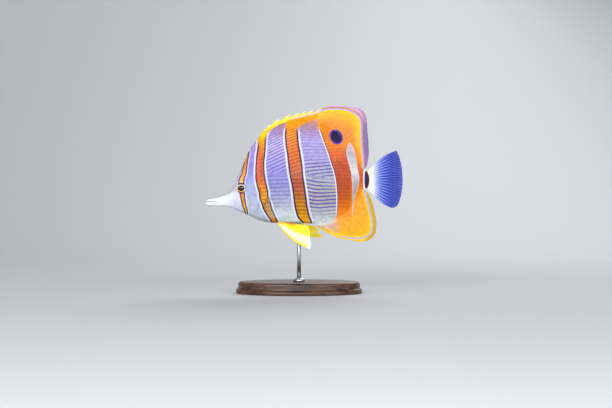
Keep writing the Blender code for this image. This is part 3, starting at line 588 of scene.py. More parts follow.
def drive(tree, shader, **outputs):
    """Links outputs to the shader's sockets, whose names have a low line here for each space."""
    for name, output in outputs.items():
        tree.links.new(output, shader.inputs[name.replace("_", " ")])


def fix(shader, **numbers):
    """Sets what is the same all over the surface on the shader's own sockets, named in the same way."""
    for name, value in numbers.items():
        shader.inputs[name.replace("_", " ")].default_value = value


def relief(tree, shader, height, strength, distance=0.0001):
    """Tilts the shading as if the height stood this many metres out of the surface."""
    bump = add(tree, "ShaderNodeBump", 0, Strength=strength, Distance=distance, Height=height)
    tree.links.new(bump, shader.inputs["Normal"])

# %% [markdown]
# A wet fish is glossy over colours that lie deep. Its finish is one shader for skin, scales and fins. It
# reads the attributes, cuts the distance fields into sharp edges, breaks the colour up with fine noise so
# that no area is flat, and lays a clear coat on top.

# %% The fish's finish
MOTTLE_LILAC = rgba(160, 152, 208)
ROW_VIOLET = rgba(96, 66, 172)
HALO_WHITE = rgba(226, 232, 255)
BAND_SHADE = rgba(150, 90, 80)
SPOT_CORE = rgba(28, 0, 60)
LINE_BLUE = rgba(150, 172, 255)
MOTTLE_SCALE = 620.0
CLOUD_SCALE = 260.0


def fish_material(name, roughness, coat, grain, grain_scale, rays=False):
    """The fish's finish: markings from the attributes, fine noise in colour and relief, a wet coat."""
    made, tree, shader = shader_tree(name)
    band, spot = attribute(tree, "band"), attribute(tree, "spot")
    mottle = spread(tree, noise(tree, MOTTLE_SCALE, 5.0), 0.0, 0.36, 0.46, 0.70)
    colour = blend_colour(tree, attribute(tree, "ground", True), MOTTLE_LILAC, mottle)
    between = step_at(tree, attribute(tree, "row"), 0.285, 0.12)
    colour = blend_colour(tree, colour, ROW_VIOLET, times(tree, attribute(tree, "lines"), between))
    halo = times(tree, attribute(tree, "halo"), step_at(tree, band, -RIM_WIDTH - HALO_WIDTH, 0.25))
    colour = blend_colour(tree, colour, HALO_WHITE, halo)
    colour = blend_colour(tree, colour, attribute(tree, "rim", True), step_at(tree, band, -RIM_WIDTH, 0.14))
    band_lines = times(tree, attribute(tree, "band_lines"), between)
    paint = blend_colour(tree, attribute(tree, "paint", True), BAND_SHADE, band_lines, "MULTIPLY")
    colour = blend_colour(tree, colour, paint, step_at(tree, band, 0.0, 0.16))
    colour = blend_colour(tree, colour, attribute(tree, "ring", True), step_at(tree, spot, -0.5, 0.3))
    colour = blend_colour(tree, colour, SPOT_CORE, step_at(tree, spot, 0.45, 0.35))
    off_line = step_at(tree, attribute(tree, "line"), 0.52, 0.12)
    on_line = add(tree, "ShaderNodeMath", 0, {"operation": "SUBTRACT"}, i0=1.0, i1=off_line)
    colour = blend_colour(tree, colour, LINE_BLUE, on_line)
    if rays:
        colour = blend_colour(tree, colour, attribute(tree, "ray_colour", True), attribute(tree, "ray_share"))
    colour = shaded(tree, colour, spread(tree, noise(tree, CLOUD_SCALE, 4.0), 0.90, 1.08))
    fine = noise(tree, grain_scale, 3.0)
    drive(tree, shader, Base_Color=colour, Roughness=spread(tree, fine, roughness * 0.8, roughness * 1.25))
    relief(tree, shader, fine, grain)
    fix(shader, Coat_Weight=coat, Coat_Roughness=0.12, Specular_IOR_Level=0.22)
    return made


skin_material = fish_material("wet_skin", 0.38, 0.15, 0.35, 2600.0)
scale_material = fish_material("pearly_scales", 0.40, 0.10, 0.25, 4200.0)
fin_material = fish_material("rayed_fin_skin", 0.42, 0.05, 0.25, 3200.0, rays=True)

# %% [markdown]
# The skin has fine forms that its smooth thickness formula lacks: the lip of the gill opening, the edge of
# the cheek, a rim round the eye, nostrils, and the line of the mouth. Each is a bump or a groove across the
# distance from its line. A bare edge is rounded off, and an edge that carries a fin stays square.

# %% Relief of the head, and the rounded edges of the body
EYE_CENTRE = (-47.8, 11.9)
EYE_RADIUS = 3.6
SCALE_DEPTH = 0.12
NOSTRILS = [(-53.0, 9.6), (-51.9, 10.9)]
CHEEK_EDGE = [(-42.6, 16), (-43.8, 10), (-43.9, 3), (-42.4, -3), (-38.8, -7)]


def lip_along(distance, high, low, reach):
    """A lip that swells up to an edge and drops behind it: high in front, low behind, both dying away."""
    front = high * np.exp(-((distance / reach) ** 2))
    behind = -low * np.exp(-((distance / (0.45 * reach)) ** 2))
    return np.where(distance < 0, front, behind)


def head_relief(x, z):
    """How far the head's fine forms stand out from its smooth shape, in millimetres."""
    gill = np.array(GILL_LINE, float)
    from_gill = x - profile(gill[:, ::-1], z)
    gill_reach = ease((z + 9) / 5) * ease((25 - z) / 5)
    relief = lip_along(from_gill, 0.26, 0.26, 1.9) * gill_reach
    cheek = np.array(CHEEK_EDGE[::-1], float)
    from_cheek = x - profile(cheek[:, ::-1], z)
    relief = relief + lip_along(from_cheek, 0.13, 0.10, 1.3) * ease((z + 7) / 3) * ease((17 - z) / 4)
    from_eye = np.hypot(x - EYE_CENTRE[0], z - EYE_CENTRE[1])
    relief = relief + 0.22 * np.exp(-(((from_eye - 4.3) / 0.6) ** 2))
    relief = relief - 1.1 * ease((EYE_RADIUS + 0.2 - from_eye) / 0.6)
    for place in NOSTRILS:
        away = np.hypot(x - place[0], z - place[1])
        relief = relief - 0.45 * np.exp(-((away / 0.30) ** 2)) + 0.10 * np.exp(-(((away - 0.62) / 0.2) ** 2))
    mouth = z - profile(MOUTH_LINE, x)
    open_share = ease((-65.5 - x) / 4)
    relief = relief - (0.50 * open_share + 0.08 * ease((-60 - x) / 3)) * np.exp(-((mouth / 0.16) ** 2))
    lips = 0.12 * ease((-71.5 - x) / 2.0) * np.exp(-(((np.abs(mouth) - 0.75) / 0.5) ** 2))
    return relief + lips


def fins_attached(x, above):
    """1 where a fin grows from the edge of the body at this x, and 0 where the edge is bare."""
    return ease((x + 35.0) / 1.2) if above else ease(x - 7.0)


def skin_half(x, z):
    """Half thickness of the bare skin: the flank, rounded off at a bare edge, less the scales' depth."""
    half = flank(x, z)
    rounded = np.ones_like(half)
    for outline, edges, above in ((BACK, BACK_EDGE, True), (BELLY, BELLY_EDGE, False)):
        step = 0.1
        slope = (profile(outline, x + step) - profile(outline, x - step)) / (2 * step)
        away = np.abs(profile(outline, x) - z) / np.sqrt(1 + slope**2)
        inward = np.clip(1 - away / profile(edges, x), 0, 1)
        round_here = np.sqrt(1 - inward**2)
        square = (away > 1e-6).astype(float)
        held = fins_attached(x, above)
        rounded = rounded * (round_here * (1 - held) + square * held)
    depth = SCALE_DEPTH * ease((x + 58) / 8)
    return np.maximum((half - depth + head_relief(x, z)) * rounded, 0.0)

# %% [markdown]
# The skin is one closed surface from lips to tail stalk. It is a loft: a ring of points at each of many
# stations, with stations closest together at the eye and the gill opening, where the relief is finest.
# It lies a scale's depth inside the solids, because the scales are laid on it. Sculpting could make it
# too, but a loft follows the same outlines as the solids and comes out the same each time.

# %% Loft the skin
STATION_RUNS = [(-75.0, -73.6, 12), (-73.6, -53.5, 62), (-53.5, -42.0, 62), (-42.0, -32.5, 52),
                (-32.5, 44.0, 120), (44.0, 49.6, 14)]
RING_SIDE = 96


def skin_stations():
    """Places along the body, in runs that are denser where the relief is fine."""
    runs = [np.linspace(a, b, n, endpoint=False) for a, b, n in STATION_RUNS]
    return np.concatenate([*runs, [STATION_RUNS[-1][1]]])


def skin_rings():
    """A closed ring of points at each station, up the left side and down the right."""
    x = skin_stations()[:, None]
    even = np.linspace(0, 1, RING_SIDE)
    share = 0.55 * even + 0.45 * (1 - np.cos(np.pi * even)) / 2
    low, high = profile(BELLY, x), profile(BACK, x)
    z = low + share * (high - low)
    z[:, 1] = np.minimum(z[:, 1], z[:, 0] + 0.02)
    z[:, -2] = np.maximum(z[:, -2], z[:, -1] - 0.02)
    y = skin_half(np.broadcast_to(x, z.shape), z)
    y[:, [0, -1]] = 0.0
    x = np.broadcast_to(x, z.shape)
    left = np.stack([x, -y, z], axis=-1)
    right = np.stack([x, y, z], axis=-1)[:, -2:0:-1]
    return np.concatenate([left, right], axis=1)


def mouth_rings(ring):
    """Rings that close the snout: round over the lips, then in to a level slit and down into the mouth."""
    middle = np.array([ring[0, 0], 0.0, 2.15])
    steps = [(-0.12, 0.90, 0.90), (-0.10, 0.72, 0.66), (0.10, 0.60, 0.26), (0.9, 0.50, 0.10)]
    rings = []
    for forward, width, height in steps:
        shaped = (ring - middle) * np.array([0.0, width, height]) + middle
        rings.append(shaped + np.array([forward, 0.0, 0.0]))
    return np.array(rings[::-1])


body_rings = skin_rings()
all_rings = np.concatenate([mouth_rings(body_rings[0]), body_rings])
skin_points, skin_faces = capped(all_rings, all_rings[0].mean(axis=0), all_rings[-1].mean(axis=0))
skin_values = markings(skin_points[:, 0], skin_points[:, 2])
# Behind the head the skin counts as lying wholly between rows. Where it shows between the plates, it takes
# the row lines' violet and the stripes' darker tone: painted shade in the gaps.
skin_values["row"] = ease((skin_points[:, 0] + 35) / 3)
skin = piece("skin", in_world(skin_points), skin_faces, skin_material, skin_values)
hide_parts("head", "upper_jaw", "lower_jaw", "gill_cover_left", "gill_cover_right", "trunk",
            "tail_stalk")

# %% [markdown]
# Scales lie in rows that climb from the gill towards the back and sag along the belly, and the two sets
# part at a point on the flank, where more rows begin. A row is a curve of constant level. A bump in the
# skin's finish could draw scales too, but only real plates stand out at the edge and reach the export.

# %% Rows of scales
CLIMB = [(-44, 0.50), (-22, 0.48), (-12, 0.38), (-4, 0.26), (4, 0.18), (14, 0.12), (24, 0.05),
         (36, 0.0), (52, 0.0)]
SAG = [(-15, 0.8), (0, 1.3), (8, 1.5), (14, 1.7), (20, 2.0)]
RECOVER = [(-15, 1.6), (0, 1.0), (8, 0.8), (14, 0.0), (20, -1.1)]
ROW_PITCH = [(-15, 2.4), (0, 2.85), (20, 2.9), (36, 2.8), (44, 2.5), (52, 2.1), (70, 2.0)]
TOP_LOWER_ROW = 19.95
FIRST_UPPER_ROW = 11.25
STEP = 1.85
HALF_ROW = 0.61
UPPER_LEAN = 0.25
SCALE_LENGTH = 0.88
BACK_FIN_SPAN = (7.5, 39)
ANAL_FIN_SPAN = (8, 39)
climb_x = np.linspace(-44, 52, 400)
climb_z = np.cumsum(profile(CLIMB, climb_x)) * (climb_x[1] - climb_x[0])
climb_z -= np.interp(0, climb_x, climb_z)
gill_x = np.array(GILL_LINE, float)[:, ::-1]


def upper_row(level, x):
    """A row above the seam: it climbs steeply from the gill and levels off towards the tail."""
    return level - 0.12 * (level - 20) * ease((x + 4) / 20) + np.interp(x, climb_x, climb_z)


def lower_row(level, x):
    """A row below the seam: level in front, sagging under the seam's split, and recovering near the belly."""
    sag = profile(SAG, level) * ease((x + 1) / 12) - profile(RECOVER, level) * ease((x - 8) / 18)
    return level - sag + 0.03 * np.minimum(x + 9, 0)


def row_places(row, level, way, lean):
    """The scales of the rows from this level on, going up or down, that lie on one side of the seam.

    Each row is moved on by half a scale, less what its lean already moves it along the row before."""
    found, start = [], 0.0
    while -16 < level < 72:
        pitch = float(profile(ROW_PITCH, level))
        x = np.arange(-44, 51, STEP) + start % STEP
        z = row(level, x)
        slope = row(level, x + 0.5) - row(level, x - 0.5)
        room = (z - profile(SEAM, x)) * way
        run = np.hypot(1, slope)
        wide = np.minimum(HALF_ROW * pitch / run, room + 0.35 * pitch)
        below_fin = (x > BACK_FIN_SPAN[0]) & (x < BACK_FIN_SPAN[1])
        above_fin = (x > ANAL_FIN_SPAN[0]) & (x < ANAL_FIN_SPAN[1])
        top = profile(BACK, x) + np.where(below_fin, 0.3, -0.6 * wide)
        bottom = profile(BELLY, x) + np.where(above_fin, -0.3, 0.7 * profile(BELLY_EDGE, x) + 0.5 * wide)
        keep = (room > 0.2 * pitch) & (x > profile(gill_x, z) + 1.2) & (z < top) & (z > bottom) & (x < 49.6)
        small = 1 - 0.25 * ease((x - 36) / 10)
        place = [x, z, SCALE_LENGTH * STEP * small * run, wide * small, 1 / run, slope / run]
        found.append(np.stack(place, axis=-1)[keep])
        level += way * pitch
        start += STEP / 2 - pitch * lean
    return found

# %% [markdown]
# The head's scales are smaller and lie on a lattice of their own, every second row moved on by half a
# step. The lattice stops short of the eye, the snout and the edges of the body.

# %% Scales of the head
HEAD_STEP = 1.25
HEAD_PITCH = 1.55
FACE_EDGE = [(-12, -44), (-4, -47), (4, -48.5), (12, -50), (20, -48), (60, -40)]


def head_scale_places():
    """The small scales of the nape, cheek and gill cover, on a lattice of their own."""
    found = []
    for number, level in enumerate(np.arange(-10, 60, HEAD_PITCH)):
        climb = 0.35 * ease((level - 8) / 16)
        x = np.arange(-52, -33, HEAD_STEP) + (number % 2) * HEAD_STEP / 2
        z = level + climb * (x + 40)
        eye = np.hypot(x - EYE_CENTRE[0], z - EYE_CENTRE[1])
        kept = (x < profile(gill_x, z) - 0.5) & (eye > 5.3) & (x > profile(FACE_EDGE, z))
        kept &= (z < profile(BACK, x) - 1.2) & (z > profile(BELLY, x) + profile(BELLY_EDGE, x) + 1.0)
        x, z = x[kept], z[kept]
        small = 0.8 + 0.2 * ease((x + 49) / 6)
        run = np.ones_like(x) / np.hypot(1, climb)
        half_long, half_wide = 0.86 * HEAD_STEP * small, 0.60 * HEAD_PITCH * small
        found.append(np.stack([x, z, half_long, half_wide, run, climb * run], axis=-1))
    return np.concatenate(found)

# %% [markdown]
# Each scale is a small closed plate, drawn once and bent to the surface wherever it is laid. Its root is
# sunk in the skin, and its rear edge lifts over the next one. All plates of one side are one mesh, worked
# out together as an array of plates by points.

# %% One plate, repeated
FIN_SKIN = 0.15
EDGE_INSET = 0.04
PLATE_THICKNESS = 0.05
ROOT_SUNK = 0.08
REAR_LIFT = 0.13
PLATE_CROWN = 0.05
SIZE_VARIES = 0.05
SHADE_VARIES = 0.06
BAKE_PATCH = 0.0015
STEEPEST = 1.2


def thinning(root_half, out, thin=FIN_SKIN):
    """Half thickness of a fin without its rays: the root's, thinning outwards to the skin's."""
    return thin + (root_half - thin) * (1 - out) ** 1.6


def cover_half(x, z):
    """Half thickness to lay scales on: the skin on the body, and the thinning fin base past its edge."""
    back, belly = profile(BACK, x), profile(BELLY, x)
    out = np.maximum(np.maximum(z - back, belly - z), 0)
    edge = np.where(z > back, profile(BACK_EDGE, x), profile(BELLY_EDGE, x))
    on_fin = thinning(edge - EDGE_INSET, np.clip((out + 0.7) / 23, 0, 1))
    return np.where(out > 0, on_fin, skin_half(x, np.clip(z, belly + 0.03, back - 0.03)))


def plate_shape(n):
    """Local (a, b) places of a plate's top, from its middle out, and its faces. a runs to the rear."""
    turn = np.linspace(0, 2 * np.pi, n, endpoint=False)
    ring = np.stack([np.sign(f) * np.abs(f) ** 0.78 for f in (np.cos(turn), np.sin(turn))], axis=-1)
    local = np.concatenate([[[0.0, 0.0]], 0.62 * ring, ring, [[0.0, 0.0]], 0.97 * ring])
    k = np.arange(n)
    following = (k + 1) % n
    low = 1 + 2 * n
    fans = [np.stack([np.zeros(n, int), 1 + k, 1 + following], axis=-1),
            np.stack([np.full(n, low), low + 1 + following, low + 1 + k], axis=-1)]
    quads = [np.stack([1 + k, 1 + n + k, 1 + n + following, 1 + following], axis=-1),
             np.stack([1 + n + k, low + 1 + k, low + 1 + following, 1 + n + following], axis=-1)]
    return local, fans, quads


def lay_scales(name, places, side, seed, surface=cover_half, lift=1.0, uv_places=None, points=14,
               region="body"):
    """A joined mesh of plates on one side of the fish, each bent to the surface that it lies on.

    A place is x, z, half length, half width and the direction that the plate runs in."""
    local, fans, quads = plate_shape(points)
    count = len(local)
    under = (np.arange(count) > 2 * points).astype(float)
    random = np.random.default_rng(seed)
    size = 1 + SIZE_VARIES * random.standard_normal(len(places))
    x0, z0, half_long, half_wide, run_x, run_z = places.T
    a = local[None, :, 0] * (half_long * size)[:, None]
    b = local[None, :, 1] * (half_wide * size)[:, None]
    x = x0[:, None] + a * run_x[:, None] - b * run_z[:, None]
    z = z0[:, None] + a * run_z[:, None] + b * run_x[:, None]
    half = surface(x, z)
    slope_x = (surface(x + 0.25, z) - surface(x - 0.25, z)) / 0.5
    slope_z = (surface(x, z + 0.25) - surface(x, z - 0.25)) / 0.5
    tilt_x, tilt_z = (-np.clip(slope, -STEEPEST, STEEPEST) for slope in (slope_x, slope_z))
    normal = np.stack([tilt_x, np.ones_like(half), tilt_z], axis=-1)
    normal /= np.linalg.norm(normal, axis=-1, keepdims=True)
    rear = (local[None, :, 0] + 1) / 2
    height = -ROOT_SUNK + (ROOT_SUNK + REAR_LIFT) * rear - PLATE_CROWN * local[None, :, 1] ** 2
    height = (height - PLATE_THICKNESS * under) * np.broadcast_to(lift, len(places))[:, None]
    spots = np.stack([x, half, z], axis=-1) + normal * height[..., None]
    spots[..., 1] *= side
    starts = (np.arange(len(places)) * count)[:, None, None]
    faces = [np.concatenate([(f[None] + starts).reshape(-1, f.shape[1]) for f in group])
             for group in (fans, quads)]
    values = markings(x, z, region)
    rear_edge = 0.22 * np.clip(local[None, :, 0], 0, 1) ** 6
    values["row"] = (np.maximum(np.abs(local[None, :, 1]) * HALF_ROW, rear_edge) * np.ones_like(x)).ravel()
    vary = 1 + SHADE_VARIES * np.clip(random.standard_normal(len(places)), -1.6, 1.6)
    for key in ("ground", "paint"):
        values[key] = np.clip(values[key] * np.repeat(vary, count)[:, None], 0, 1)
    if uv_places is None:
        low, high = profile(BELLY, x0), profile(BACK, x0)
        uv_places = np.stack([(x0 + 76) / 152, np.clip((z0 - low) / (high - low), 0.01, 0.99)], axis=-1)
    uv = (uv_places[:, None, :] + BAKE_PATCH * local[None]).reshape(-1, 2)
    crisp = np.tile((np.arange(count) > points) & (under == 0), len(places))
    made = piece(name, in_world(spots.reshape(-1, 3)), faces, scale_material, values, uv, crisp)
    return made

# %% Lay the scales
body_places = np.concatenate(row_places(lower_row, TOP_LOWER_ROW, -1, 0.0)
                             + row_places(upper_row, FIRST_UPPER_ROW, 1, UPPER_LEAN))
head_places = head_scale_places()
print("scales on one side:", len(body_places), "on the flank and", len(head_places), "on the head")
for side, word in ((-1, "left"), (1, "right")):
    lay_scales("flank_scales_" + word, body_places, side, 11)
    lay_scales("head_scales_" + word, head_places, side, 23, lift=0.6)

# %% [markdown]
# A fin is a thin sheet stiffened by rays. Its surface is a straight line from a root point on the body to
# a tip point on its outer edge, for each place along the base. Thickness is a formula too: the fin's root,
# thinning to the skin, plus a ridge at each ray. The rays fork twice on their way out, as real ones do.
# A flat cut-out with painted rays would be quicker, but its rays would vanish when seen along the fin.

# %% Rays and sheets
RAY_RISE = 0.13
SIDEWAYS = np.array([0.0, 1.0, 0.0])


def ridge_pattern(share, out, rays, forks=(0.34, 0.62), width=0.085):
    """How much of a ray is at each place, 1 on its ridge. It forks in two, and those in two again."""
    place = (share * rays) % 1 - 0.5
    first = 0.25 * ease((out - forks[0]) / 0.45)
    second = 0.12 * ease((out - forks[1]) / 0.33)
    best = np.zeros(np.broadcast(share, out).shape)
    for sign_one in (-1, 1):
        for sign_two in (-1, 1):
            away = (place - sign_one * first - sign_two * second) / width
            best = np.maximum(best, np.exp(-(away**2)))
    return best


def root_points(outline, stretch, share, above, sunk):
    """Points on the back or belly, evenly spaced along a stretch of it and sunk into the body."""
    fine = np.linspace(*stretch, 300)
    length = np.concatenate([[0], np.cumsum(np.hypot(np.diff(fine), np.diff(profile(outline, fine))))])
    x = np.interp(share * length[-1], length, fine)
    slope = (profile(outline, x + 0.05) - profile(outline, x - 0.05)) / 0.1
    normal = np.stack([-slope, np.ones_like(slope)], axis=-1)
    normal *= (-1 if above else 1) / np.linalg.norm(normal, axis=-1, keepdims=True)
    return np.stack([x, profile(outline, x)], axis=-1) + normal * sunk


def fin_sheet(root, tip, root_half, ridges, out, bow=None, wave=None, thin=FIN_SKIN, rise=RAY_RISE):
    """The middle of a fin and its half thickness, from root and tip points in space."""
    middle = root[:, None] + (tip - root)[:, None] * out[None, :, None]
    if bow is not None:
        middle = middle + bow[:, None] * np.sin(np.pi * out)[None, :, None]
    if wave is not None:
        middle = middle + wave[..., None] * SIDEWAYS
    half = thinning(root_half[:, None], out[None], thin)
    return middle, half + rise * ridges * np.sin(np.pi * np.clip(0.14 + 0.80 * out, 0, 1))[None]


def thick(middle, half, sideways=SIDEWAYS):
    """Points and faces of a closed sheet that stands half its thickness off its middle on each side."""
    offset = half[..., None] * sideways
    return sheet(middle - offset, middle + offset)


def scalloped(tip, root, share, rays, depth):
    """The outer edge, drawn in between the rays by up to this share of their length."""
    dip = depth * (1 - ridge_pattern(share, np.zeros_like(share), rays, width=0.3))
    return tip + (root - tip) * dip[:, None]


def flat(points):
    """Side-view points (x, z) as points in space, in the middle plane."""
    return np.stack([points[:, 0], np.zeros(len(points)), points[:, 1]], axis=-1)


def both_faces(values):
    """Values of the near face repeated for the far one."""
    return {key: np.concatenate([value, value]) for key, value in values.items()}


def ray_tint(values, ridges, strength, pale=(255, 255, 235)):
    """Adds the rays' colour, a paler one than the skin's, and how much of it shows at each place."""
    values["ray_colour"] = mixed(values["paint"], linear(*pale), 0.45)
    values["ray_share"] = (ridges * strength).ravel() * (values["spot"] < -0.8)
    values["row"] = np.zeros(ridges.size)
    return values

# %% [markdown]
# The body's scales run on over the fins' bases and grow smaller outwards. On a fin a row follows a ray, so
# the places are read from the fin's own grid, and the plates bend with its wave.

# %% Small scales on a fin
def fin_scales(name, middle, root_half, out, rows, reach, step):
    """Rows of small scales that follow a fin's rays, flatter outwards, on both sides of it."""
    count = len(middle)
    root, tip = middle[:, 0], middle[:, -1]
    length = np.linalg.norm(tip - root, axis=-1)
    found = []
    for number in range(rows):
        i = int((number + 0.5) / rows * (count - 1))
        beside = max(int(0.5 / rows * (count - 1)), 1)
        start = (1.2 + (number % 2) * step / 2) / length[i]
        k = np.rint(np.arange(start, reach, step / length[i]) * (len(out) - 1)).astype(int)
        gap = np.linalg.norm(middle[min(i + beside, count - 1), k] - middle[max(i - beside, 0), k], axis=-1)
        run = (tip[i] - root[i]) / length[i]
        one = np.ones(len(k))
        bulge = root_half[i] - FIN_SKIN
        place = [middle[i, k, 0], middle[i, k, 2], 0.86 * step * one, np.clip(0.6 * gap, 0.4, 1.3),
                 run[0] * one, run[2] * one]
        base = thinning(root_half[i], out[k]) + 0.05
        fall = -1.6 * bulge * (1 - out[k]) ** 0.6 / length[i]
        lift = 0.15 + 0.75 * np.sqrt(1 - out[k] / (reach + 0.03))
        found.append(np.stack([*place, base, fall, middle[i, k, 1], lift, i / count * one, out[k]], axis=-1))
    found = np.concatenate(found)
    places, (base, fall, wave, lift, east, north) = found[:, :6], found[:, 6:].T
    x0, z0, run_x, run_z = (found[:, k][:, None] for k in (0, 1, 4, 5))
    uv_places = 0.02 + 0.96 * np.stack([east, north / reach], axis=-1)
    for side, word in ((-1, "left"), (1, "right")):
        def surface(x, z, way=side):
            return (base + way * wave)[:, None] + fall[:, None] * ((x - x0) * run_x + (z - z0) * run_z)

        lay_scales(name + "_scales_" + word, places, side, 31, surface, lift, uv_places, 10, name)

# %% [markdown]
# The two soft fins differ only in outline, number of rays and markings, so one function makes both.

# %% Soft fins
SOFT_BACK_ROOT = (7.2, 44.4)
SOFT_BACK_EDGE = [
    (14.4, 73.1), (19.3, 74.6), (29.0, 74.9), (36.4, 74.1), (42.9, 72.2), (46.5, 68.6),
    (47.8, 62.0), (48.2, 55.3), (49.0, 46.7), (49.2, 39.2), (48.3, 32.0), (47.2, 28.0),
]
ANAL_ROOT = (8.0, 44.4)
ANAL_EDGE = [
    (12.0, -18.9), (17.2, -21.8), (23.6, -24.8), (30.0, -26.7), (36.4, -27.9), (43.9, -28.8),
    (49.3, -27.6), (53.0, -24.4), (54.9, -19.6), (55.1, -14.2), (54.1, -7.8), (52.5, -0.9),
    (50.3, 5.0), (48.2, 9.0),
]
FIN_SUNK = 0.7
SOFT_SCALLOP = 0.014


def median_fin(name, outline, edges, stretch, outer, rays, pace, per_ray, node):
    """A soft fin of the back or the belly. A pace under 1 spreads the tips of its front rays."""
    share = np.linspace(0, 1, rays * per_ray + 1)
    out = np.linspace(0, 1, 52)
    root = root_points(outline, stretch, share, outline is BACK, FIN_SUNK)
    ridges = ridge_pattern(share[:, None], out[None], rays)
    tip = scalloped(along(outer, share**pace), root, share, rays, SOFT_SCALLOP)
    wave = 0.30 * out[None] ** 2 * np.sin(share[:, None] * 9.0 + 1.0)
    root_half = profile(edges, root[:, 0]) - EDGE_INSET
    middle, half = fin_sheet(flat(root), flat(tip), root_half, ridges, out, wave=wave)
    points, faces = thick(middle, half)
    values = ray_tint(markings(middle[..., 0], middle[..., 2], name), ridges, 0.22, (255, 225, 110))
    made = piece(name + "_rayed", in_world(points), faces, fin_material, both_faces(values))
    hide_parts(node)
    fin_scales(name, middle, root_half, out, int(1.5 * rays), 0.62, 1.25)


median_fin("soft_back", BACK, BACK_EDGE, SOFT_BACK_ROOT, SOFT_BACK_EDGE, 29, 0.80, 13, "soft_back_fin")
median_fin("anal", BELLY, BELLY_EDGE, ANAL_ROOT, ANAL_EDGE, 23, 0.85, 14, "anal_fin")

# %% [markdown]
# The tail is clearer than the other fins. Its rays are pale, on skin that turns from cream at the base to
# lavender blue, and they fork twice, so the outer edge looks finely combed.

# %% Tail fin
TAIL_EDGE = [
    (70.4, 40.9), (72.4, 36.2), (73.9, 30.5), (74.7, 24.5), (75.0, 18.5), (74.7, 12.6),
    (73.8, 6.8), (72.2, 1.2), (70.2, -2.0), (66.9, -3.2),
]
TAIL_RAYS = 17
TAIL_BULGE = 2.4
TAIL_ROOT_X = 49.0
TAIL_SUNK = 0.4
TAIL_SCALLOP = 0.008


def make_tail():
    """The tail fin's fan of rays."""
    share = np.linspace(0, 1, TAIL_RAYS * 22 + 1)
    out = np.linspace(0, 1, 60)
    top, bottom = float(profile(BACK, TAIL_ROOT_X)), float(profile(BELLY, TAIL_ROOT_X))
    z = top + (bottom - top) * (0.015 + 0.97 * share)
    root = np.stack([np.full_like(z, TAIL_ROOT_X - TAIL_SUNK), z], axis=-1)
    ridges = ridge_pattern(share[:, None], out[None], TAIL_RAYS, (0.34, 0.84))
    tip = scalloped(along(TAIL_EDGE, share), root, share, TAIL_RAYS, TAIL_SCALLOP)
    bow = flat(np.stack([np.zeros_like(share), (1 - 2 * share) * TAIL_BULGE], axis=-1))
    wave = 0.5 * out[None] ** 2 * np.sin(share[:, None] * 7.5 + 0.6)
    root_half = flank(TAIL_ROOT_X, z) - 0.05
    middle, half = fin_sheet(flat(root), flat(tip), root_half, ridges, out, bow, wave, rise=0.16)
    points, faces = thick(middle, half)
    values = markings(middle[..., 0], middle[..., 2], "tail")
    values = ray_tint(values, ridges * ease((middle[..., 0] - 51.5) / 3), 0.9)
    values["ray_colour"] = mixed(tail_colours(middle[..., 0] - 6), linear(160, 170, 240), 0.4).reshape(-1, 3)
    made = piece("tail_fin_rayed", in_world(points), faces, fin_material, both_faces(values))
    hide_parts("tail_fin")
    fin_scales("tail", middle, root_half, out, 18, 0.20, 1.1)


make_tail()

# %% [markdown]
# The front of the back fin has nine stiff spines. Each is a tapered tube, and the skin between two of
# them hangs from just under the front one's tip to lower on the next, in a shallow curve. Spines and skin
# are closed shapes of their own that share one mesh. A bevelled curve could make a spine as well. Rings
# are used because they close to a point and take their thickness from a formula.

# %% Tubes, and shapes joined in one mesh
TUBE_SIDES = 12


def tube(path, radius):
    """Points and faces of a closed tapered tube along a path, its end rings drawn to a point."""
    run = np.gradient(path, axis=0)
    run /= np.linalg.norm(run, axis=1, keepdims=True)
    side = np.cross(run, SIDEWAYS)
    side /= np.linalg.norm(side, axis=1, keepdims=True)
    up = np.cross(side, run)
    turn = np.linspace(0, 2 * np.pi, TUBE_SIDES, endpoint=False)
    ring = np.cos(turn)[None, :, None] * side[:, None] + np.sin(turn)[None, :, None] * up[:, None]
    return capped(path[:, None] + ring * radius[:, None, None], path[0], path[-1])


def join(shapes):
    """Several closed shapes as one mesh, each turned to face out."""
    points, tris, quads, start = [], [], [], 0
    for shape_points, faces in shapes:
        if volume(shape_points, faces) < 0:
            faces = [f[:, ::-1] for f in faces]
        points.append(shape_points)
        for f in faces:
            (tris if f.shape[1] == 3 else quads).append(f + start)
        start += len(shape_points)
    return np.concatenate(points), [np.concatenate(group) for group in (tris, quads) if group]

# %% Spiny back fin
SPINE_ROOT_X = [-33.6, -32.4, -30.4, -26.6, -20.9, -14.4, -8.8, -3.4, 2.6]
SPINE_TIP = [(-31.9, 55.2), (-29.5, 57.8), (-26.3, 60.4), (-19.7, 64.7), (-10.5, 68.3),
             (-3.3, 69.7), (1.9, 70.9), (7.2, 71.7), (12.6, 72.7)]
SPINY_LINE = [(-14, 63.4), (-8, 65.2), (-2, 66.8), (4.3, 68.2), (9.5, 69.6), (14, 71.0)]
# How far down its spine each stretch of skin starts and ends, and how deep it hangs between
WEB_STARTS = 0.13
WEB_ENDS = 0.30
WEB_SAG = 0.07
SPINE_RADIUS = 0.46
SPINE_TIP_RADIUS = 0.20


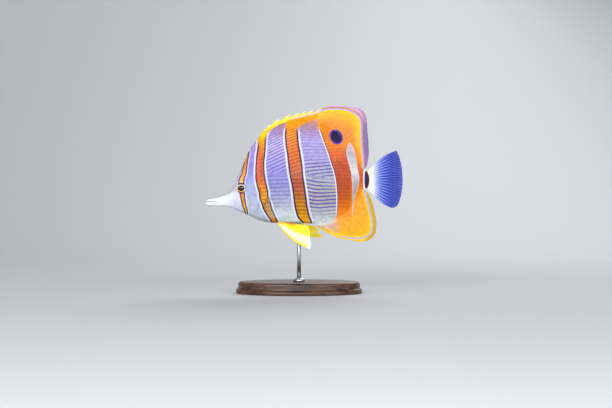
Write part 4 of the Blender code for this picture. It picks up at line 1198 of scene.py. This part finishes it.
def spine_web():
    """Root and edge points of the skin between the spines, with each one's place among them."""
    roots = np.array([[x, float(profile(BACK, x)) - 0.6] for x in SPINE_ROOT_X])
    tips = np.array(SPINE_TIP)
    first = np.array([[-35.2, float(profile(BACK, -35.2)) - 0.4]])
    last = np.array([[SOFT_BACK_ROOT[0] + 0.3, float(profile(BACK, SOFT_BACK_ROOT[0])) - 0.6]])
    roots = np.concatenate([first, roots, last])
    tips = np.concatenate([first + [[0.4, 0.5]], tips, [[13.9, 72.3]]])
    root, tip, place = [], [], []
    for i in range(len(roots) - 1):
        at_rear = i == len(roots) - 2
        t = np.linspace(0, 1, 12, endpoint=at_rear)[:, None]
        high = tips[i] + (roots[i] - tips[i]) * (WEB_STARTS if i else 0.0)
        low = tips[i + 1] + (roots[i + 1] - tips[i + 1]) * (0.04 if at_rear else WEB_ENDS)
        sag = (roots[i] - tips[i]) * WEB_SAG * 4 * t * (1 - t)
        root.append(roots[i] + (roots[i + 1] - roots[i]) * t)
        tip.append(high + (low - high) * t + sag)
        place.append(i + t[:, 0])
    return np.concatenate(root), np.concatenate(tip), np.concatenate(place)


def spine(x, tip):
    """One spine as a tapered tube, bowed back a little, and how far up it each point lies."""
    base = np.array([x, float(profile(BACK, x)) - 1.0])
    run = np.array(tip) - base
    t = np.linspace(0, 1, 20)
    bend = np.array([-run[1], run[0]]) * 0.06
    path = flat(base + run * t[:, None] + bend * np.sin(np.pi * t)[:, None])
    radius = (SPINE_RADIUS * (1 - t) ** 0.35 + SPINE_TIP_RADIUS) * min(1.0, np.linalg.norm(run) / 9)
    radius[-1] = 0.10
    return tube(path, radius), np.concatenate([np.repeat(t, TUBE_SIDES), [0.0, 1.0]])


def spiny_paint(x, z, across):
    """Yellow, paler in streaks beside the spines, with a lilac line and a mauve foot towards the rear."""
    height = z - profile(BACK, x)
    above = z - profile(SPINY_LINE, x)
    streak = np.exp(-(((across - 0.34) / 0.17) ** 2)) * ease(height / 1.2) * ease((6.5 - height) / 4)
    yellow = mixed(linear(252, 198, 0), linear(252, 226, 0), ease((x + 32) / 7))
    paint = mixed(yellow, linear(236, 226, 190), 0.45 * streak)
    paint = mixed(paint, linear(250, 158, 6), ease((x + 14) / 3) * ease((0.6 - above) / 1.2))
    paint = mixed(paint, linear(222, 208, 240), 0.9 * np.exp(-((above / 0.5) ** 2)) * ease((x + 12) / 4))
    mauve = ease((profile(MAUVE_TOP, x) - z) / 1.5) * ease((x + 5) / 3)
    return mixed(paint, linear(216, 142, 108), mauve)


def make_spiny_fin():
    """Spines and the skin between them, joined."""
    root, tip, place = spine_web()
    out = np.linspace(0, 1, 26)
    root_half = profile(BACK_EDGE, root[:, 0]) - 0.06
    no_ridges = np.zeros((len(root), len(out)))
    web = thick(*fin_sheet(flat(root), flat(tip), root_half, no_ridges, out))
    spines, up_spines = zip(*[spine(x, end) for x, end in zip(SPINE_ROOT_X, SPINE_TIP)])
    points, faces = join([web, *spines])
    on_web = len(web[0])
    across = np.zeros(len(points))
    across[:on_web] = np.tile(np.repeat(place % 1, len(out)), 2)
    up_spine = np.concatenate([np.zeros(on_web), *up_spines])
    values = markings(points[:, 0], points[:, 2], "plain")
    values["paint"] = spiny_paint(points[:, 0], points[:, 2], across)
    values = ray_tint(values, ease((up_spine - 0.08) / 0.3), 0.85, (255, 252, 60))
    pale_tips = 0.85 * ease((up_spine - 0.55) / 0.35)
    values["ray_colour"] = mixed(values["ray_colour"], linear(255, 255, 232), pale_tips)
    made = piece("spiny_back_fin_webbed", in_world(points), faces, fin_material, values)
    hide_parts("spiny_back_fin")


make_spiny_fin()

# %% [markdown]
# The fins behind the gill covers are nearly clear fans. Their finish lets most light through between the
# rays: an attribute says where a ray or the root is, and drives how much light is stopped.

# %% Clear fins behind the gill covers
PECTORAL_ROOT = [(-27.6, 4.8), (-30.8, -1.0)]
PECTORAL_RAYS = 14
PECTORAL_ANGLES = (2, -64)
PECTORAL_LENGTHS = [(0, 17.5), (0.25, 22.0), (0.5, 21.0), (1, 10.0)]
PECTORAL_SPREAD = 18
PECTORAL_ROOT_HALF = 0.45


def clear_fin_material():
    """Clear skin between pale rays: the ray attribute drives how much light is stopped."""
    made, tree, shader = shader_tree("clear_fin_skin")
    ray, root = attribute(tree, "ray_share"), attribute(tree, "root_share")
    colour = blend_colour(tree, rgba(196, 204, 226), rgba(236, 240, 248), ray)
    colour = blend_colour(tree, colour, rgba(206, 138, 36), step_at(tree, root, 0.3, 0.3))
    colour = blend_colour(tree, colour, rgba(140, 84, 84), step_at(tree, root, 0.93, 0.06))
    stop = spread(tree, ray, 0.03, 0.17, 0.0, 1.0)
    stop = add(tree, "ShaderNodeMath", 0, {"operation": "MAXIMUM"}, i0=stop, i1=root)
    drive(tree, shader, Base_Color=colour, Alpha=stop)
    relief(tree, shader, noise(tree, 3000.0), 0.2)
    fix(shader, Roughness=0.28, Coat_Weight=0.3)
    return made


clear_material = clear_fin_material()


def make_pectoral(side, word):
    """The clear fan behind one gill cover."""
    share = np.linspace(0, 1, PECTORAL_RAYS * 14 + 1)
    out = np.linspace(0, 1, 34)
    foot = along(PECTORAL_ROOT, share)
    angle = np.radians(PECTORAL_ANGLES[0] + (PECTORAL_ANGLES[1] - PECTORAL_ANGLES[0]) * share)
    length = profile(PECTORAL_LENGTHS, share)
    lean = np.radians(PECTORAL_SPREAD)
    root = np.stack([foot[:, 0], flank(foot[:, 0], foot[:, 1]) - 0.1, foot[:, 1]], axis=-1)
    step = np.stack([np.cos(lean) * length * np.cos(angle), np.sin(lean) * length,
                     np.cos(lean) * length * np.sin(angle)], axis=-1)
    ridges = ridge_pattern(share[:, None], out[None], PECTORAL_RAYS, (0.4, 0.9), 0.12)
    bow = np.full((len(share), 1), 1.1) * SIDEWAYS
    root_half = np.full_like(share, PECTORAL_ROOT_HALF)
    middle, half = fin_sheet(root, root + step, root_half, ridges, out, bow, thin=0.09, rise=0.10)
    sideways = np.array([-np.sin(lean) * 0.6, 1.0, 0.0])
    points, faces = thick(middle, half, sideways / np.linalg.norm(sideways))
    points[:, 1] *= side
    root_share = np.broadcast_to(ease((0.15 - out) / 0.15)[None], ridges.shape)
    ray_share = ridges * (0.25 + 0.75 * ease((out - 0.1) / 0.5))[None]
    values = both_faces({"ray_share": ray_share.ravel(), "root_share": root_share.ravel()})
    made = piece("pectoral_fin_rayed_" + word, in_world(points), faces, clear_material, values)
    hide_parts("pectoral_fin_" + word)

# %% [markdown]
# The long fins under the chest are bright yellow with a white streak and white tips, and a stout spine
# along the front. The two are held at different angles, so each has its own list of tips.

# %% Fins under the chest
PELVIC_ROOT_X = (-21.0, -16.5)
PELVIC_ROOT_Y = 1.75
PELVIC_TIPS = {
    "left": [(3.6, -34.3, 9.0), (5.6, -33.0, 8.8), (5.3, -29.0, 8.0), (4.7, -24.5, 7.0), (4.3, -20.0, 5.6),
             (3.2, -16.4, 4.4)],
    "right": [(14.2, -26.6, 9.0), (15.0, -25.2, 8.8), (12.9, -22.4, 8.0), (10.8, -19.9, 7.0),
              (8.4, -17.6, 5.6), (5.4, -16.3, 4.4)],
}
PELVIC_BOW = (1.6, 2.2)
PELVIC_STREAK = {"left": (1.25, 1.0), "right": (0.8, 0.12)}
PELVIC_TIP_FROM = {"left": 0.88, "right": 0.93}
# The right fin's yellow is a touch warmer and paler than the left's. This is painted light, set against the
# shade that the far fin lies in.
PELVIC_YELLOW = {"left": (255, 240, 0), "right": (255, 236, 40)}
PELVIC_FORKS = (0.45, 0.7)
PELVIC_ROOT_HALF = 0.62


def pelvic_paint(word, place, reach, ridges, rays):
    """Yellow with a white streak between the second and third rays, white tips and an orange upper root."""
    streak_width, streak_share = PELVIC_STREAK[word]
    streak = streak_share * np.exp(-(((place - 2.0) / streak_width) ** 4)) * ease((reach - 0.02) / 0.15)
    colour = mixed(linear(*PELVIC_YELLOW[word]), linear(240, 238, 240), streak * (0.95 - 0.4 * ridges))
    white = ease((reach - PELVIC_TIP_FROM[word]) / 0.08) * ease((3.0 - place) / 1.2)
    colour = mixed(colour, linear(242, 243, 242), white)
    upper = ease((place - rays + 1.1) / 0.7) * ease((0.72 - reach) / 0.4)
    return mixed(colour, linear(255, 140, 10), np.maximum(upper, 0.6 * ease((0.12 - reach) / 0.1)))


def make_pelvic(side, word):
    """One long fin under the chest, with its stout leading spine."""
    tips = PELVIC_TIPS[word]
    rays = len(tips)
    share = np.linspace(0, 1, rays * 26 + 1)
    out = np.linspace(0, 1, 44)
    x = PELVIC_ROOT_X[0] + (PELVIC_ROOT_X[1] - PELVIC_ROOT_X[0]) * share
    root = np.stack([x, np.full_like(x, PELVIC_ROOT_Y), profile(BELLY, x) + 0.7], axis=-1)
    tip = along(tips, share)[:, [0, 2, 1]]
    comb = ridge_pattern(share, np.ones_like(share), rays, PELVIC_FORKS, 0.12)
    tip = tip + (root - tip) * (0.045 * (1 - comb))[:, None]
    sag = np.cos(np.pi * share * 0.5)
    bow = np.stack([-PELVIC_BOW[0] * sag, 0 * sag, -PELVIC_BOW[1] * sag], axis=-1)
    across = np.cross(tip[0] - root[0], root[-1] - root[0])
    ridges = ridge_pattern(share[:, None], out[None], rays, PELVIC_FORKS, 0.10)
    stout = np.exp(-(((share[:, None] * rays - 0.35) / 0.30) ** 2)) * (1 - out[None]) ** 0.4
    root_half = np.full_like(x, PELVIC_ROOT_HALF)
    middle, half = fin_sheet(root, tip, root_half, ridges + 2.2 * stout, out, bow)
    points, faces = thick(middle, half, across / np.linalg.norm(across))
    points[:, 1] *= side
    values = markings(middle[..., 0], middle[..., 2], "plain")
    place, reach = np.broadcast_arrays(share[:, None] * rays, out[None])
    values["paint"] = pelvic_paint(word, place, reach, ridges, rays).reshape(-1, 3)
    values = ray_tint(values, ridges, 0.12)
    made = piece("pelvic_fin_rayed_" + word, in_world(points), faces, fin_material, both_faces(values))
    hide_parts("pelvic_fin_" + word)


for side, word in ((-1, "left"), (1, "right")):
    make_pectoral(side, word)
    make_pelvic(side, word)

# %% [markdown]
# The eye is a shallow dome: a dark pupil that bulges a little, a gold ring round it, and a pale iris that
# turns orange below. Its colours are worked out from the distance and direction to the pupil's middle,
# and a clear, hard coat gives it its wet highlight. A ball would stand too far out of so thin a head.

# %% Eyes
PUPIL = (2.55, 2.05)
EYE_SUNK = 0.62
EYE_DOME = 1.35
PUPIL_BULGE = 0.22
EYE_BACK = 0.9


def eye_finish():
    """Colours from the mesh, broken up by fine fibres, under a polished clear coat."""
    made, tree, shader = shader_tree("eye_gloss")
    fibres = spread(tree, noise(tree, 2400.0, 3.0), 0.86, 1.1)
    drive(tree, shader, Base_Color=shaded(tree, attribute(tree, "eye_colour", True), fibres))
    fix(shader, Roughness=0.22, Specular_IOR_Level=0.1, Coat_Weight=0.7, Coat_Roughness=0.02, Coat_IOR=1.45)
    return made


def eye_colours(east, north):
    """The pupil, its gold ring, and the iris, by distance from the middle and by direction."""
    away = np.hypot(east / PUPIL[0], north / PUPIL[1])
    far = np.hypot(east, north) / EYE_RADIUS
    turn = np.arctan2(north, east)
    warm = ease((np.cos(turn + 2.2) + 0.40) / 0.8)
    iris = mixed(linear(228, 234, 250), linear(232, 96, 26), warm)
    iris = mixed(iris, linear(128, 84, 150), 0.8 * ease((np.sin(turn) - 0.66) / 0.24))
    iris = mixed(iris, mixed(linear(255, 244, 190), linear(255, 202, 30), warm), ease((1.34 - away) / 0.12))
    lid = mixed(linear(206, 208, 240), linear(64, 20, 66), ease((np.abs(np.sin(turn)) - 0.55) / 0.2))
    colour = mixed(iris, lid, ease((far - 0.84) / 0.06))
    return mixed(colour, linear(10, 6, 44), ease((1.08 - away) / 0.08))


def make_eye(side, word):
    """One eye, as rings round its axis: the domed front, the rim, and a back that sinks in the socket."""
    share = np.linspace(0, 1, 40)[1:]
    turn = np.linspace(0, 2 * np.pi, 72, endpoint=False)
    east = EYE_RADIUS * share[:, None] * np.cos(turn)[None]
    north = EYE_RADIUS * share[:, None] * np.sin(turn)[None]
    away = np.hypot(east / PUPIL[0], north / PUPIL[1])
    dome = EYE_DOME * np.sqrt(np.clip(1 - share**2 * 0.93, 0, 1))[:, None]
    bulge = PUPIL_BULGE * ease((1.1 - away) / 0.5) - 0.10 * np.exp(-(((away - 1.25) / 0.12) ** 2))
    surface = float(flank(*EYE_CENTRE)) - EYE_SUNK
    front = np.stack([east, surface + dome + bulge, north], axis=-1)
    back = front[-1:] * [0.8, 0, 0.8] + [0, surface - EYE_BACK, 0]
    rings = np.concatenate([front, back])
    points, faces = capped(rings, [0, surface + EYE_DOME + PUPIL_BULGE, 0], [0, surface - EYE_BACK, 0])
    colour = eye_colours(points[:, 0], points[:, 2])
    points = (points + [EYE_CENTRE[0], 0, EYE_CENTRE[1]]) * [1, side, 1]
    made = piece("eyeball_" + word, in_world(points), faces, eye_material, {"eye_colour": colour})
    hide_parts("eye_" + word)


eye_material = eye_finish()
for side, word in ((-1, "left"), (1, "right")):
    make_eye(side, word)

# %% [markdown]
# The stand is plain: an oval walnut base with a moulded rim, a steel rod, and a turned collar where the
# rod goes in. Each is a profile carried round its middle, so a short list of radii and heights is all
# that it takes. A modifier that spins a profile makes only round shapes, and the base is an oval. The
# wood's grain is noise stretched along the base, and the steel's brushing is noise stretched round the rod.

# %% Walnut and steel
def walnut_finish():
    """Dark oiled walnut: stretched rings of grain, fine pores, and a satin coat."""
    made, tree, shader = shader_tree("oiled_walnut")
    place = add(tree, "ShaderNodeTexCoord", "Object")
    stretched = add(tree, "ShaderNodeMapping", 0, Vector=place, Scale=(9.0, 60.0, 60.0))
    grain = add(tree, "ShaderNodeTexNoise", "Fac", Vector=stretched, Scale=3.4, Detail=7.0, Distortion=1.1)
    ramp = tree.nodes.new("ShaderNodeValToRGB")
    for stop, at, tone in zip(ramp.color_ramp.elements, (0.34, 0.68), (rgba(44, 26, 17), rgba(112, 70, 42))):
        stop.position = at
        stop.color = tone
    tree.links.new(grain, ramp.inputs[0])
    pores = add(tree, "ShaderNodeTexNoise", "Fac", Vector=stretched, Scale=34.0, Detail=2.0)
    drive(tree, shader, Base_Color=ramp.outputs[0], Roughness=spread(tree, pores, 0.32, 0.5))
    relief(tree, shader, pores, 0.25, 0.0002)
    fix(shader, Coat_Weight=0.25, Coat_Roughness=0.2)
    return made


def steel_finish():
    """Satin steel, brushed round the axis: fine level streaks in its roughness and relief."""
    made, tree, shader = shader_tree("satin_steel")
    place = add(tree, "ShaderNodeTexCoord", "Object")
    stretched = add(tree, "ShaderNodeMapping", 0, Vector=place, Scale=(1.0, 1.0, 60.0))
    streaks = add(tree, "ShaderNodeTexNoise", "Fac", Vector=stretched, Scale=220.0, Detail=3.0)
    drive(tree, shader, Roughness=spread(tree, streaks, 0.2, 0.42))
    relief(tree, shader, streaks, 0.12)
    fix(shader, Base_Color=rgba(198, 198, 202), Metallic=1.0)
    return made


walnut = walnut_finish()
steel = steel_finish()

# %% Base
base_low, base_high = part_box("stand_base")
base_centre = ((base_low.x + base_high.x) / 2, (base_low.y + base_high.y) / 2)
base_radii = ((base_high.x - base_low.x) / 2, (base_high.y - base_low.y) / 2)
base_top = base_high.z
quarter = np.linspace(0, np.pi / 2, 9)
PLINTH_TOP = 0.0034
COVE = 0.0016
RIM_ROUND = 0.0022


def turned(profile_points, centre, sides, radii=(1.0, 1.0)):
    """Points and faces of a profile of (radius, height) carried round, closed by poles at its two ends."""
    radius, height = np.array(profile_points, float).T
    turn = np.linspace(0, 2 * np.pi, sides, endpoint=False)
    x = centre[0] + radius[:, None] * radii[0] * np.cos(turn)
    y = centre[1] + radius[:, None] * radii[1] * np.sin(turn)
    rings = np.stack([x, y, np.broadcast_to(height[:, None], x.shape)], axis=-1)
    return capped(rings, [*centre, height[0]], [*centre, height[-1]])


def base_profile():
    """The base's section from its underside out, up and in: a plinth, a cove and a rounded top edge."""
    cove, rim = COVE / base_radii[0], RIM_ROUND / base_radii[0]
    foot = [(0.90, 0.0), (0.985, 0.0), (1.0, 0.0005), (1.0, PLINTH_TOP)]
    hollow = [(1 - cove * np.sin(t), PLINTH_TOP + COVE * (1 - np.cos(t))) for t in quarter[1:]]
    rounded = [(1 - cove - rim * (1 - np.cos(t)), base_top - RIM_ROUND * (1 - np.sin(t))) for t in quarter]
    return foot + hollow + rounded + [(0.80, base_top), (0.40, base_top), (0.10, base_top)]


base_points, base_faces = turned(base_profile(), base_centre, 160, base_radii)
base = piece("display_base", base_points, base_faces, walnut)
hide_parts("stand_base")

# %% Rod and collar
ROD_SUNK = 0.0022
COLLAR_FOOT = 0.35
rod_radius = (rod_high.x - rod_low.x) / 2
rod_profile = [(rod_radius, rod_low.z), (rod_radius, rod_high.z + GAP + ROD_SUNK)]
rod_points, rod_faces = turned(rod_profile, (rod_x, 0.0), 48)
rod = piece("steel_rod", rod_points, rod_faces, steel)
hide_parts("stand_rod")

collar_low, collar_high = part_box("stand_collar")
collar_radius = (collar_high.x - collar_low.x) / 2
foot_top = base_top + COLLAR_FOOT * (collar_high.z - base_top)
collar_profile = [(collar_radius, base_top), (collar_radius, foot_top)]
collar_profile += [(rod_radius + (collar_radius - rod_radius) * np.cos(t),
                    foot_top + (collar_high.z - foot_top) * np.sin(t)) for t in quarter[1:]]
collar_points, collar_faces = turned(collar_profile, (rod_x, 0.0), 64)
collar = piece("turned_collar", collar_points, collar_faces, steel)
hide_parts("stand_collar")

# %% [markdown]
# The set is a pale sweep that rises behind the model without a corner, lit by large soft lights: a key
# from the front left, a fill from the right, one from behind and a small low one for the belly.

# %% Floor
def sweep():
    """Points and faces of a floor that curves up into a backdrop."""
    flat_to, radius, height, half = 0.55, 0.45, 2.2, 3.0
    curve = np.linspace(0, np.pi / 2, 24)
    y = np.concatenate([[-2.6], flat_to + radius * np.sin(curve), [flat_to + radius]])
    z = np.concatenate([[0.0], radius * (1 - np.cos(curve)), [height]])
    x = np.array([-half, half])
    grid = np.stack(np.broadcast_arrays(x[None, :], y[:, None], z[:, None]), axis=-1)
    return grid.reshape(-1, 3), grid_quads(len(y), 2)


def floor_finish():
    """Matt paper with a trace of tooth."""
    made, tree, shader = shader_tree("pale_paper")
    relief(tree, shader, noise(tree, 900.0, 3.0), 0.05, 0.0002)
    fix(shader, Base_Color=rgba(216, 218, 222), Roughness=0.9)
    return made


floor_mesh = bpy.data.meshes.new("floor")
floor_points, floor_faces = sweep()
floor_mesh.from_pydata(floor_points.tolist(), [], floor_faces.tolist())
floor_mesh.shade_smooth()
floor_mesh.materials.append(floor_finish())
floor = bpy.data.objects.new("floor", floor_mesh)
bpy.context.scene.collection.objects.link(floor)

# %% Lights
FISH_MIDDLE = np.array([0.0, 0.0, datum + 0.018])


def aim(obj, place, target):
    """Puts a light or the camera at a place, looking at a target."""
    obj.location = place
    obj.rotation_euler = (Vector(target) - Vector(place)).to_track_quat("-Z", "Y").to_euler()


def soft_light(name, place, size, power, colour=(1.0, 1.0, 1.0)):
    """A square soft box that looks at the fish."""
    data = bpy.data.lights.new(name, "AREA")
    data.size = size
    data.energy = power
    data.color = colour
    made = bpy.data.objects.new(name, data)
    bpy.context.scene.collection.objects.link(made)
    aim(made, place, FISH_MIDDLE)


soft_light("key_light", (-0.55, -1.15, 0.50), 0.7, 9.2, (1.0, 0.985, 0.96))
soft_light("fill_light", (0.75, -1.00, 0.48), 0.8, 5.0, (0.96, 0.98, 1.0))
soft_light("back_light", (0.35, 0.75, 0.75), 0.5, 4.0)
soft_light("low_light", (0.05, -0.85, 0.17), 0.2, 1.1)
world = bpy.data.worlds.new("studio")
world.use_nodes = True
world.node_tree.nodes["Background"].inputs["Color"].default_value = (0.92, 0.95, 1.0, 1.0)
world.node_tree.nodes["Background"].inputs["Strength"].default_value = 0.30
bpy.context.scene.world = world

# %% [markdown]
# The camera stands level with the fish and square to its flank, as far off as a medium telephoto lens
# needs to frame it like the photo. Its distance follows from the scale of the photo, in millimetres a pixel.

# %% Camera
PHOTO_WIDTH = 612
PHOTO_MIDDLE_PX = 306.0
FISH_DATUM_PX = 304.3
MM_PER_PX = 0.762
LENS = 70.0
SENSOR = 36.0
camera_data = bpy.data.cameras.new("camera")
camera_data.lens = LENS
camera_data.sensor_width = SENSOR
camera_data.clip_start = 0.01
camera = bpy.data.objects.new("camera", camera_data)
bpy.context.scene.collection.objects.link(camera)
away = PHOTO_WIDTH * MM_PER_PX * unit * LENS / SENSOR
camera_x = (PHOTO_MIDDLE_PX - FISH_DATUM_PX) * MM_PER_PX * unit
aim(camera, (camera_x, -away, datum), (camera_x, 0.0, datum))
bpy.context.scene.camera = camera
bpy.context.scene.view_settings.view_transform = "Standard"
print("camera distance in mm:", round(1000 * away, 1))
